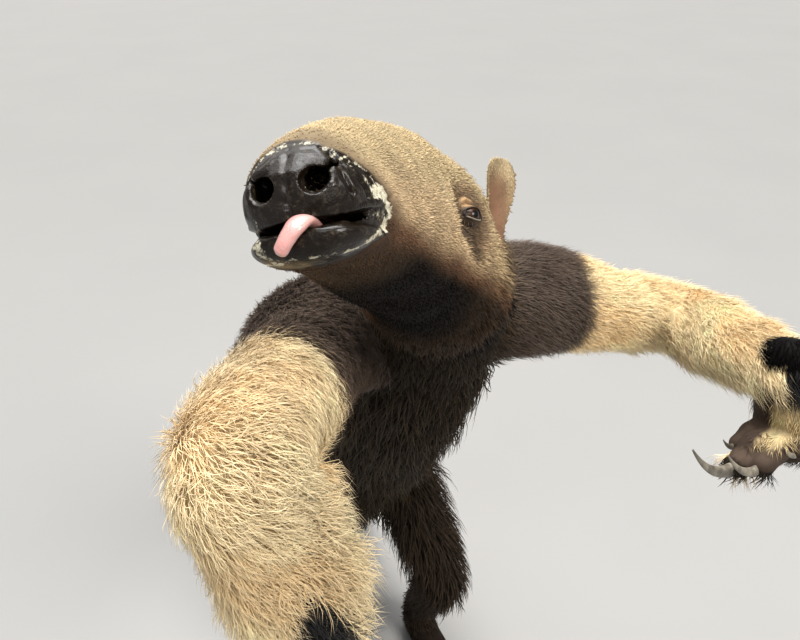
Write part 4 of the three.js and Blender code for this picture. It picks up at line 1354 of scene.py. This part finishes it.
def grow(roots, normals, where, plan, rng):
    """The middle lines of the tufts, from their roots to their tips."""
    count = len(roots)
    segments = int(plan[0, SEGMENTS])
    length = plan[:, LENGTH] * rng.uniform(0.76, 1.18, count)
    clump = wander(roots, 24, 41)
    coarse = wander(roots, 80, 43)
    swing = plan[:, SPREAD] * (0.8 * rng.normal(size=count) + 0.8 * clump[:, 0] + 0.45 * coarse[:, 0])
    lift = plan[:, LIFT] * np.clip(1 + 0.35 * rng.normal(size=count) + 0.4 * clump[:, 1], 0.2, 2.2)
    fall = np.linspace(1, 0, segments + 1) ** 1.2
    curl = rng.normal(size=count) * plan[:, SPREAD] * 0.5
    sink = np.minimum(1.2, 0.12 * length)
    paths = np.empty((count, segments + 1, 3))
    paths[:, 0] = roots - normals * sink[:, None]
    step_long = (length / segments)[:, None]
    lie, out = lie_of(roots, where, normals), normals
    for step in range(segments):
        flow = turned(lie, out, swing + curl * step)
        raised = (lift * fall[step])[:, None]
        heading = flow * np.cos(raised) + out * np.sin(raised)
        heading = unit(heading + DOWN * (plan[:, DROOP] * step)[:, None])
        place = paths[:, step] + heading * step_long
        if segments > 2:
            # A tuft that dips into the body is pushed out again.
            again = BODY.read(place)
            deep = np.clip(1.04 - again["close"], 0, 0.5)
            place = place + again["out"] * (deep * 45.0)[:, None]
            out = unit(between(out, again["out"], 0.6))
            lie = lie_of(place, again, out)
        under = place[:, 2] < COAT_GAP
        place[under, 2] = COAT_GAP + rng.uniform(0, 2.5, under.sum())
        paths[:, step + 1] = place
    return paths


def strips(paths, normals, widths):
    """Closed three-sided strips along the paths: points, quads, triangles and each point's place."""
    count, knots = paths.shape[:2]
    rings = knots - 1
    along = unit(np.gradient(paths, axis=1))
    side = unit(np.cross(along, normals[:, None]))
    ridge = np.cross(side, along)
    taper = np.linspace(1, 0, knots)[:-1] ** 0.45
    taper[0] = 0.8
    wide = (widths[:, None] * taper)[..., None] * 0.5
    edges = [paths[:, :-1] - side[:, :-1] * wide, paths[:, :-1] + side[:, :-1] * wide]
    edges.append(paths[:, :-1] + ridge[:, :-1] * wide * 0.75)
    rows = np.stack(edges, 2).reshape(count, rings * 3, 3)
    points = np.concatenate([rows, paths[:, -1:]], 1)
    each = rings * 3 + 1
    quads, triangles = [], [(0, 1, 2)]
    for ring in range(rings):
        low, high = ring * 3, ring * 3 + 3
        for k in range(3):
            other = (k + 1) % 3
            if ring < rings - 1:
                quads.append((low + other, low + k, high + k, high + other))
            else:
                triangles.append((low + other, low + k, each - 1))
    start = (np.arange(count) * each)[:, None, None]
    place = np.zeros((each, 2))
    for ring in range(rings):
        place[ring * 3 : ring * 3 + 3, 0] = (0, 1, 0.5)
        place[ring * 3 : ring * 3 + 3, 1] = ring / rings
    place[-1] = (0.5, 1)
    quads = (np.array(quads).reshape(-1, 4) + start).reshape(-1, 4)
    triangles = (np.array(triangles) + start).reshape(-1, 3)
    return points.reshape(-1, 3), quads, triangles, place


def atlas(where):
    """Each root's place on the skin's own unwrap: one tile for each limb, round it and along it."""
    rows = math.ceil(len(BODY.names) / ATLAS_COLUMNS)
    tile_x, tile_y = where["limb"] % ATLAS_COLUMNS, where["limb"] // ATLAS_COLUMNS
    inner = 1 - 2 * ATLAS_MARGIN
    u = (where["angle"] / (2 * math.pi) + 0.5) * inner + ATLAS_MARGIN
    v = where["t"] * inner + ATLAS_MARGIN
    return np.stack([(tile_x + u) / ATLAS_COLUMNS, (tile_y + v) / rows], 1)


def mesh_piece(name, points, quads, triangles):
    """A new smooth object from arrays of quads and triangles."""
    mesh = bpy.data.meshes.new(name)
    mesh.vertices.add(len(points))
    mesh.vertices.foreach_set("co", to_scene(points).astype(np.float32).ravel())
    corners = np.concatenate([quads.ravel(), triangles.ravel()]).astype(np.int32)
    totals = np.concatenate([np.full(len(quads), 4), np.full(len(triangles), 3)])
    starts = np.concatenate([[0], np.cumsum(totals)[:-1]])
    mesh.loops.add(len(corners))
    mesh.loops.foreach_set("vertex_index", corners)
    mesh.polygons.add(len(totals))
    mesh.polygons.foreach_set("loop_start", starts.astype(np.int32))
    mesh.update(calc_edges=True)
    mesh.shade_smooth()
    return add_object(name, mesh), corners


def coat_piece(name, roots, normals, where, plan, rng):
    """One piece of the coat: its tufts, colours and map."""
    paths = grow(roots, normals, where, plan, rng)
    widths = plan[:, WIDTH] * rng.uniform(0.75, 1.25, len(roots))
    points, quads, triangles, place = strips(paths, normals, widths)
    piece, corners = mesh_piece(name, points, quads, triangles)
    # Each tuft runs from its root colour, darkened as painted shade, to its tip colour.
    dark, light = markings(roots, where)
    shade = rng.uniform(0.82, 1.16, len(roots))[:, None]
    share = (place[:, 1] ** 0.8)[None, :, None]
    colours = (dark[:, None] * (1 - share) + light[:, None] * share) * shade[:, None]
    set_colour(piece, "Tone", np.clip(colours, 0, 1).reshape(-1, 3))
    spots = atlas(where)[:, None] + (place - 0.5)[None] * TUFT_PATCH
    layer = piece.data.uv_layers.new(name="OFBake")
    layer.data.foreach_set("uv", spots.reshape(-1, 2)[corners].astype(np.float32).ravel())
    return piece


def skin_surface(piece):
    """The skin's points, triangles and point normals."""
    mesh = piece.data
    mesh.calc_loop_triangles()
    triangles = np.empty(len(mesh.loop_triangles) * 3, np.int32)
    mesh.loop_triangles.foreach_get("vertices", triangles)
    return points_of(piece), triangles.reshape(-1, 3), normals_of(piece)


def make_coat(skin, share, seed):
    """All the pieces of the coat, each with its material slot."""
    points, triangles, normals = skin_surface(skin)
    middles = points[triangles].mean(1)
    plan = grooming(middles, BODY.read(middles))
    rng = np.random.default_rng(seed)
    roots, chosen = scatter(points, triangles, share / plan[:, SPACING] ** 2, rng)
    where = BODY.read(roots)
    plan = grooming(roots, where)
    facing = unit(normals[triangles[chosen]].mean(1))
    pieces = []
    for number, (name, slot) in enumerate(COAT_PARTS):
        mine = (plan[:, PART] == number) & (plan[:, SPACING] < BARE)
        plan[mine, SEGMENTS] = plan[mine, SEGMENTS].max()
        rows = {key: value[mine] for key, value in where.items()}
        piece = coat_piece(name, roots[mine], facing[mine], rows, plan[mine], rng)
        pieces.append((piece, slot))
    return pieces


# Eyes, tongue and claws
def make_eye(side):
    """An eyeball with a slight bulge over its iris."""
    centre, ahead, up, out = eye_frame(SIDES[side])
    grid = ball_grid(centre, (EYE_RADIUS, EYE_RADIUS, EYE_RADIUS), (ahead, up, out), 48, 40)
    facing = unit(grid - centre) @ out
    grid = grid + out * (0.7 * ramp(0.8, 1.0, facing))[..., None]
    piece = piece_of_shells("eyeball_" + side, [grid])
    facing = unit(points_of(piece) - centre) @ out
    ink = palette()
    tone_at = blend(ink["eye_rim"], ink["iris"], ramp(0.78, 0.83, facing))
    set_colour(piece, "Tone", blend(tone_at, ink["pupil"], ramp(0.945, 0.965, facing)))
    return piece


def claw_grid(claw, rings=30, sides=28):
    """A horn claw with fine rings of growth across it."""
    grid = claw.grid(sides, rings)
    middle = grid.mean(1, keepdims=True)
    along = np.linspace(0, 1, rings + 1)[:, None]
    growth = 1 + 0.012 * np.sin(along * 95) * (1 - along)
    return middle + (grid - middle) * growth[..., None]


def make_claws(side):
    """The claws of one hand and of one foot, as a piece each, with the solids they stand for."""
    hand = [HAND_PARTS[side].claw(key) for key in DIGITS]
    foot = [toe_parts(SIDES[side], key)[1] for key in TOE_SIZES]
    for limb, claws in (("hand", hand), ("foot", foot)):
        piece = piece_of_shells(f"{limb}_claws_{side}", [claw_grid(claw) for claw in claws])
        keep_above(piece, CLAW_GAP)
        yield piece, [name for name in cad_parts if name.startswith(f"{limb}_{side}_claw")]


# Materials
class Value:
    """A socket's value. Its operators add Math nodes to the material."""

    def __init__(self, finish, socket):
        self.finish = finish
        self.socket = socket

    def maths(self, operation, *values):
        """The value of a Math node on these values."""
        return self.finish.node("ShaderNodeMath", {"operation": operation}, dict(enumerate(values)))

    def __add__(self, other):
        return self.maths("ADD", self, other)

    def __radd__(self, other):
        return self.maths("ADD", other, self)

    def __sub__(self, other):
        return self.maths("SUBTRACT", self, other)

    def __rsub__(self, other):
        return self.maths("SUBTRACT", other, self)

    def __mul__(self, other):
        return self.maths("MULTIPLY", self, other)

    def __rmul__(self, other):
        return self.maths("MULTIPLY", other, self)

    def between(self, low, high):
        """0 at low and 1 at high, clamped."""
        settings = {"interpolation_type": "SMOOTHSTEP"}
        inputs = {"Value": self, "From Min": low, "From Max": high}
        return self.finish.node("ShaderNodeMapRange", settings, inputs)


class Finish:
    """A material built from nodes."""

    def __init__(self, name):
        self.material = bpy.data.materials.new(name)
        self.material.use_nodes = True
        self.tree = self.material.node_tree
        self.tree.nodes.clear()
        self.made = 0

    def node(self, kind, settings=None, inputs=None, output=0):
        """Adds a node, with its settings first and then its sockets' values or links."""
        made = self.tree.nodes.new(kind)
        made.location = (180 * (self.made % 9), -220 * (self.made // 9))
        self.made += 1
        for key, value in (settings or {}).items():
            setattr(made, key, value)
        for key, value in (inputs or {}).items():
            socket = made.inputs[key]
            if isinstance(value, Value):
                self.tree.links.new(value.socket, socket)
            elif isinstance(value, (tuple, list, np.ndarray)) and socket.type == "RGBA":
                socket.default_value = (*value, 1)
            else:
                socket.default_value = value
        return Value(self, made.outputs[output] if made.outputs else None)

    def place(self, stretch=(1, 1, 1)):
        """The surface's own place in metres, stretched."""
        spot = self.node("ShaderNodeTexCoord", {}, {}, "Object")
        return self.node("ShaderNodeMapping", {}, {"Vector": spot, "Scale": stretch})

    def noise(self, scale, detail=3.0, rough=0.55, spot=None):
        inputs = {"Vector": spot or self.place(), "Scale": scale, "Detail": detail, "Roughness": rough}
        return self.node("ShaderNodeTexNoise", {}, inputs)

    def cells(self, scale, **settings):
        inputs = {"Vector": self.place(), "Scale": scale}
        return self.node("ShaderNodeTexVoronoi", settings, inputs)

    def mix(self, share, a, b, kind="MIX"):
        settings = {"data_type": "RGBA", "blend_type": kind, "clamp_factor": True}
        return self.node("ShaderNodeMix", settings, {0: share, 6: a, 7: b}, 2)

    def painted(self, name, output="Color"):
        """A colour that the mesh carries for each point."""
        return self.node("ShaderNodeAttribute", {"attribute_name": name}, {}, output)

    def parts(self, vector):
        """The three numbers of a vector."""
        split = self.node("ShaderNodeSeparateXYZ", {}, {"Vector": vector}).socket.node
        return [Value(self, output) for output in split.outputs]

    def bump(self, height, distance, strength=1.0):
        return self.node("ShaderNodeBump", {}, {"Height": height, "Distance": distance, "Strength": strength})

    def surface(self, **inputs):
        """The shader, with plain numbers on its own sockets."""
        named = {key.replace("_", " "): value for key, value in inputs.items()}
        shader = self.node("ShaderNodeBsdfPrincipled", {}, named, "BSDF")
        self.node("ShaderNodeOutputMaterial", {}, {"Surface": shader})
        return self.material


def skin_finish():
    """Dark hide under the coat, wet black leather on the muzzle with a faint painted sheen, and pale dried
    crust on its edges.
    """
    ink = palette()
    finish = Finish("Hide")
    leather, wet, crust = finish.parts(finish.painted("Finish", "Vector"))
    blotch = finish.noise(60, 4)
    fine = finish.noise(900, 3)
    mottle_noise = finish.noise(330, 6, 0.62)
    speck = finish.noise(1000, 3, 0.6)
    colour = finish.mix(blotch.between(0.35, 0.7) * 0.35, finish.painted("Tone"), ink["throat"])
    # A painted sheen: faint pale patches mixed into the leather's colour.
    sheen = finish.mix(mottle_noise.between(0.5, 0.8) * leather * 0.1, colour, ink["grizzle"])
    broken = mottle_noise.between(0.36, 0.66) * 0.8 + speck.between(0.35, 0.65) * 0.35
    crusted = (crust + broken - 0.84).between(0.0, 0.55) * crust.between(0.02, 0.2)
    dried = finish.mix(speck.between(0.4, 0.7) * 0.5, ink["crust"], ink["flank"])
    colour = finish.mix(crusted * 0.88, sheen, dried)
    pebbles = finish.cells(620.0, feature="DISTANCE_TO_EDGE")
    grain = pebbles.between(0.0, 0.22) * leather * (1 - wet) * 0.25 + fine * 0.22
    grain = grain + crusted * (mottle_noise + 0.3) * 1.1
    roughness = 0.72 - leather * (0.4 - blotch * 0.16) - wet * 0.1 + crusted * 0.3
    coat = (leather * (blotch.between(0.35, 0.6) * 0.25 + 0.13) + wet * 0.18) * (1 - crusted * 0.7)
    return finish.surface(
        Base_Color=colour,
        Roughness=roughness,
        Coat_Weight=coat,
        Coat_Roughness=0.13,
        Specular_IOR_Level=0.1,
        Normal=finish.bump(grain, 0.0006, 0.5),
    )


def coat_finish(name, roughness, sheen, shine):
    """Hair: the tuft's own colour, varied from tuft to tuft, with a soft shine."""
    finish = Finish(name)
    patch = finish.noise(38, 3)
    strand = finish.noise(1500, 2)
    own = finish.painted("Tone")
    shade = finish.mix(patch.between(0.3, 0.7) * 0.26, own, (0.5, 0.46, 0.42), "MULTIPLY")
    shade = finish.mix(strand.between(0.35, 0.7) * 0.3, shade, (1.0, 0.95, 0.86), "SOFT_LIGHT")
    return finish.surface(
        Base_Color=shade,
        Roughness=strand * 0.2 + (roughness - 0.1),
        Specular_IOR_Level=shine,
        Sheen_Weight=sheen,
        Sheen_Roughness=0.5,
        Normal=finish.bump(strand, 0.0003, 0.5),
    )


def horn_finish():
    """Grey horn with long pale streaks and fine dark flecks."""
    ink = palette()
    finish = Finish("Horn")
    streak = finish.noise(120, 5, 0.6, finish.place((1, 1, 0.35)))
    fine = finish.noise(700, 3, 0.6, finish.place((1, 1, 0.3)))
    colour = finish.mix(streak.between(0.3, 0.72), ink["horn"], ink["horn_pale"])
    colour = finish.mix(fine.between(0.55, 0.8) * 0.5, colour, ink["leather"])
    return finish.surface(
        Base_Color=colour,
        Roughness=0.34 + fine * 0.25,
        Specular_IOR_Level=0.5,
        Normal=finish.bump(streak + fine * 0.5, 0.0005, 0.6),
    )


def tongue_finish():
    """Wet pink skin with fine bumps."""
    ink = palette()
    finish = Finish("Tongue")
    blotch = finish.noise(160, 3)
    buds = finish.cells(1300.0)
    colour = finish.mix(blotch.between(0.35, 0.7), ink["tongue"], ink["tongue_deep"])
    return finish.surface(
        Base_Color=colour,
        Roughness=0.3 + blotch * 0.2,
        Coat_Weight=0.6,
        Coat_Roughness=0.12,
        Subsurface_Weight=0.12,
        Subsurface_Scale=0.003,
        Normal=finish.bump(buds, 0.0003, 0.5),
    )


def eye_finish():
    """A dark wet eye with faint rays in its iris."""
    finish = Finish("Eye")
    rays = finish.noise(1100, 4)
    own = finish.painted("Tone")
    colour = finish.mix(rays.between(0.4, 0.7) * 0.5, own, (0.3, 0.2, 0.13), "MULTIPLY")
    return finish.surface(
        Base_Color=colour,
        Roughness=0.35 + rays * 0.1,
        Coat_Weight=0.5,
        Coat_Roughness=0.04,
        Coat_IOR=1.38,
        Specular_IOR_Level=0.1,
    )


def floor_finish():
    """Plain pale matt floor."""
    finish = Finish("Floor")
    cloud = finish.noise(1.4, 3)
    colour = finish.mix(cloud, (0.26, 0.257, 0.252), (0.29, 0.287, 0.281))
    return finish.surface(Base_Color=colour, Roughness=0.85 + cloud * 0.1)


# Settings
def colour_setting(name, description, code):
    return FloatVectorProperty(
        name=name, description=description, subtype="COLOR", size=3, min=0, max=1, default=tone(code)
    )


class AnteaterSkin(bpy.types.PropertyGroup):
    """Fineness of the skin's surface."""

    head_grain: FloatProperty(
        name="Head grain", description="Face size on the head, in mm", default=1.1, min=0.8
    )
    paw_grain: FloatProperty(
        name="Paw grain", description="Face size on hands and feet, in mm", default=2.2, min=1
    )
    trunk_grain: FloatProperty(
        name="Body grain", description="Face size on the body, in mm", default=6.0, min=3
    )


class AnteaterCoat(bpy.types.PropertyGroup):
    """How full the coat is."""

    fullness: FloatProperty(
        name="Fullness",
        description="Share of the tufts that are grown",
        subtype="FACTOR",
        default=1.0,
        min=0.1,
        max=1,
    )
    seed: IntProperty(name="Seed", description="Start of the random draws", default=7)


class AnteaterColours(bpy.types.PropertyGroup):
    """Colours of the coat, the skin and the horn."""

    brow: colour_setting("Brow", "Short hair on top of the snout and head", 0xDAC296)
    face: colour_setting("Face", "Short hair along the side of the head", 0xE4C59B)
    cheek: colour_setting("Cheek", "Hair low on the cheek", 0x82614A)
    # Under the jaw this colour is also painted shade.
    throat: colour_setting("Throat", "Hair under the jaw and on the throat", 0x0E0703)
    nape: colour_setting("Nape", "Hair behind the ears", 0x5A4634)
    ear: colour_setting("Ear", "Hair on the ears", 0xAE8F66)
    shoulder: colour_setting("Shoulder", "Dark hair of the shoulder and its stripe", 0x5F4F43)
    belly: colour_setting("Belly", "Hair of the chest, belly and wrists", 0x090603)
    flank: colour_setting("Flank", "Grizzled hair of back and flanks", 0x62513F)
    line: colour_setting("Line", "Pale lines along the stripe", 0xCFC0A2)
    leg: colour_setting("Leg", "Hair of the hind legs", 0x2C221B)
    tail: colour_setting("Tail", "Hair of the tail", 0x40322A)
    cream: colour_setting("Cream", "Pale hair of the forelegs", 0xF9DDA8)
    straw: colour_setting("Straw", "Deeper patches in the pale hair", 0xE9C184)
    tip: colour_setting("Tips", "Ends of the pale hair", 0xFFF0CE)
    # Also the colour of the painted sheen on the leather.
    grizzle: colour_setting("Grizzle", "Pale ends of the dark hair", 0xB5A48A)
    leather: colour_setting("Leather", "Bare black skin of the muzzle", 0x140D07)
    # Along the top of the leather's edge and on the nostrils' lower rims this pale is partly a painted
    # highlight.
    crust: colour_setting("Crust", "Dried rim on the lips and nose", 0xE2DBC2)
    eyelid: colour_setting("Eyelid", "Bare rims of the eyelids", 0x2A1F1A)
    bare: colour_setting("Bare skin", "Pale bare skin above the eye", 0xA08260)
    iris: colour_setting("Iris", "Iris of the eye", 0x35200F)
    # Also painted as shade inside the mouth and the nostrils.
    pupil: colour_setting("Pupil", "Pupil of the eye", 0x050404)
    eye_rim: colour_setting("Eye rim", "Edge of the eyeball", 0x2A1B12)
    tongue: colour_setting("Tongue", "Wet skin of the tongue", 0xC99790)
    tongue_deep: colour_setting("Deep tongue", "Darker blotches of the tongue", 0xC58D88)
    horn: colour_setting("Horn", "Claw horn", 0x4A443C)
    horn_pale: colour_setting("Pale horn", "Streaks in the horn", 0x8A8274)


class AnteaterStage(bpy.types.PropertyGroup):
    """Camera and light."""

    lens: FloatProperty(
        name="Lens", description="Focal length in mm", subtype="DISTANCE_CAMERA", default=31.5, min=10
    )
    height: FloatProperty(name="Camera height", description="Height over the floor, in mm", default=1310)
    turn: FloatProperty(name="Camera turn", description="Turn to the right, in degrees", default=19.0)
    dip: FloatProperty(name="Camera dip", description="Tilt downwards, in degrees", default=32.0)
    strength: FloatProperty(name="Light", description="Strength of all the lights", default=1.0, min=0)


SETTINGS = {
    "anteater_skin": AnteaterSkin,
    "anteater_coat": AnteaterCoat,
    "anteater_colours": AnteaterColours,
    "anteater_stage": AnteaterStage,
}


def found(name):
    """A piece made earlier, or an error that stops the script."""
    piece = bpy.data.objects.get(name)
    if piece is None:
        raise RuntimeError(name + " has to be made first")
    return piece


def dress(piece, material, slot, *nodes):
    """The piece gets its material and rides with the body, and the nodes that it stands for are hidden."""
    piece.data.materials.clear()
    piece.data.materials.append(material)
    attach(piece, "root")
    if nodes:
        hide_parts(*nodes)


class ANTEATER_OT_skin(bpy.types.Operator):
    """Make the one skin of head, body, limbs and tail"""

    bl_idname = "anteater.skin"
    bl_label = "Skin"

    def execute(self, context):
        sizes = context.scene.anteater_skin
        skin = make_trunk(sizes.trunk_grain)
        combine(skin, make_paws(sizes.paw_grain), "UNION")
        combine(skin, make_head(sizes.head_grain), "UNION")
        skin.name = "skin"
        if len(skin.data.vertices) < FEWEST_SKIN_POINTS:
            raise RuntimeError("the parts of the skin did not join")
        keep_above(skin, SKIN_GAP)
        skin.data.shade_smooth()
        mark_skin(skin)
        dress(skin, skin_finish(), "dark_coat", *flesh_nodes())
        return {"FINISHED"}


class ANTEATER_OT_eyes(bpy.types.Operator):
    """Make both eyeballs"""

    bl_idname = "anteater.eyes"
    bl_label = "Eyes"

    def execute(self, context):
        material = eye_finish()
        for side in SIDES:
            dress(make_eye(side), material, "eye", "eye_" + side)
        return {"FINISHED"}


class ANTEATER_OT_tongue(bpy.types.Operator):
    """Make the tip of the tongue over the lower lip"""

    bl_idname = "anteater.tongue"
    bl_label = "Tongue"

    def execute(self, context):
        tongue = piece_of_shells("tongue_tip", [TONGUE.grid(40, 70)])
        dress(tongue, tongue_finish(), "tongue", "tongue")
        return {"FINISHED"}


class ANTEATER_OT_claws(bpy.types.Operator):
    """Make the claws of the hands and the feet"""

    bl_idname = "anteater.claws"
    bl_label = "Claws"

    def execute(self, context):
        material = horn_finish()
        for side in SIDES:
            for claws, nodes in make_claws(side):
                dress(claws, material, "horn", *nodes)
        return {"FINISHED"}


class ANTEATER_OT_coat(bpy.types.Operator):
    """Grow the tufts of the coat out of the skin"""

    bl_idname = "anteater.coat"
    bl_label = "Coat"

    def execute(self, context):
        settings = context.scene.anteater_coat
        finishes = {
            "face": coat_finish("Short hair", 0.62, 0.0, 0.05),
            "dark_coat": coat_finish("Dark hair", 0.52, 0.0, 0.05),
            "pale_coat": coat_finish("Pale hair", 0.6, 0.08, 0.2),
        }
        for piece, slot in make_coat(found("skin"), settings.fullness, settings.seed):
            dress(piece, finishes[slot], slot)
        return {"FINISHED"}


class ANTEATER_OT_stage(bpy.types.Operator):
    """Lay the floor and set the camera and the lights"""

    bl_idname = "anteater.stage"
    bl_label = "Stage"

    def execute(self, context):
        settings = context.scene.anteater_stage
        lay_floor()
        turn, dip = math.radians(settings.turn), math.radians(settings.dip)
        right = Vector((math.cos(turn), -math.sin(turn), 0))
        level = math.cos(dip)
        ahead = Vector((math.sin(turn) * level, math.cos(turn) * level, -math.sin(dip)))
        camera = add_object("camera", bpy.data.cameras.new("camera"))
        camera.data.lens = settings.lens
        camera.data.sensor_width = 36
        camera.data.clip_end = 200
        turned_to = Matrix((right, right.cross(ahead), -ahead)).transposed().to_4x4()
        camera.matrix_world = Matrix.Translation(to_scene((0, 0, settings.height))) @ turned_to
        context.scene.camera = camera
        set_lights(settings.strength)
        return {"FINISHED"}


FLOOR_SIDES = 96
FLOOR_RINGS = (1.5, 6, 20, 40)  # radii in metres


def lay_floor():
    """A wide round floor."""
    turn = round_turn(FLOOR_SIDES)
    rim = np.stack([np.cos(turn), np.sin(turn), np.zeros(FLOOR_SIDES)], 1)
    points = np.vstack([*(rim * radius for radius in FLOOR_RINGS), np.zeros((1, 3))])
    faces = []
    for i in range(FLOOR_SIDES):
        after = (i + 1) % FLOOR_SIDES
        faces.append((i, after, len(points) - 1))
        for ring in range(len(FLOOR_RINGS) - 1):
            low, high = ring * FLOOR_SIDES, (ring + 1) * FLOOR_SIDES
            faces.append((low + i, high + i, high + after, low + after))
    mesh = bpy.data.meshes.new("floor")
    mesh.from_pydata(points.tolist(), [], faces)
    mesh.materials.append(floor_finish())
    add_object("floor", mesh)


LIGHTS = (
    # name, the way it shines, softness in degrees, strength, colour
    ("sky", (-0.05, -0.2, -1.0), 40, 3.7, (1.0, 0.99, 0.97)),
    ("key", (-0.45, 0.75, -0.8), 24, 3.1, (1.0, 0.965, 0.91)),
    ("fill", (0.8, 0.6, -0.35), 60, 0.3, (0.93, 0.96, 1.0)),
    ("back", (0.1, -1.0, -0.7), 50, 0.9, (1.0, 0.98, 0.95)),
)
PANEL_AIM = (-0.05, -0.7, 1.15)
PANELS = (
    # name, place, width and height in metres, watts
    ("top", (-0.29, -0.15, 2.45), (1.2, 0.8), 24),
    ("window", (-0.7, -2.0, 3.1), (0.8, 0.5), 7),
    ("strip", (1.5, -1.7, 2.6), (0.4, 0.9), 5),
)


def aim(lamp, way):
    lamp.rotation_euler = Vector(way).to_track_quat("-Z", "Y").to_euler()


def set_lights(strength):
    """Soft studio light, three panels that shine in wet skin and eyes, and a pale surround."""
    for name, way, soft, power, colour in LIGHTS:
        light = bpy.data.lights.new(name, "SUN")
        light.energy = power * strength
        light.angle = math.radians(soft)
        light.color = colour
        aim(add_object(name, light), way)
    for name, spot, size, power in PANELS:
        light = bpy.data.lights.new(name, "AREA")
        light.shape = "RECTANGLE"
        light.size, light.size_y = size
        light.energy = power * strength
        lamp = add_object(name, light)
        lamp.location = spot
        lamp.visible_camera = False
        aim(lamp, Vector(PANEL_AIM) - Vector(spot))
    world = bpy.data.worlds.new("surround")
    world.use_nodes = True
    ground = world.node_tree.nodes["Background"]
    ground.inputs["Color"].default_value = (0.86, 0.87, 0.88, 1)
    ground.inputs["Strength"].default_value = 0.3 * strength
    bpy.context.scene.world = world
    bpy.context.scene.view_settings.view_transform = "Standard"


OPERATORS = (
    ANTEATER_OT_stage,
    ANTEATER_OT_skin,
    ANTEATER_OT_eyes,
    ANTEATER_OT_tongue,
    ANTEATER_OT_claws,
    ANTEATER_OT_coat,
)


class ANTEATER_PT_panel(bpy.types.Panel):
    """The anteater's settings and steps."""

    bl_label = "Giant anteater"
    bl_idname = "ANTEATER_PT_panel"
    bl_space_type = "VIEW_3D"
    bl_region_type = "UI"
    bl_category = "Anteater"

    def draw(self, context):
        for group in SETTINGS:
            box = self.layout.box()
            settings = getattr(context.scene, group)
            for name in settings.__annotations__:
                box.prop(settings, name)
        for operator in OPERATORS:
            self.layout.operator(operator.bl_idname)


CLASSES = (*SETTINGS.values(), *OPERATORS, ANTEATER_PT_panel)


def register():
    for kind in CLASSES:
        bpy.utils.register_class(kind)
    for name, group in SETTINGS.items():
        setattr(bpy.types.Scene, name, PointerProperty(type=group))


def unregister():
    for name in SETTINGS:
        delattr(bpy.types.Scene, name)
    for kind in reversed(CLASSES):
        bpy.utils.unregister_class(kind)


def main():
    register()
    bpy.ops.anteater.stage()
    bpy.ops.anteater.skin()
    bpy.ops.anteater.eyes()
    bpy.ops.anteater.tongue()
    bpy.ops.anteater.claws()
    bpy.ops.anteater.coat()


if __name__ == "__main__":
    main()
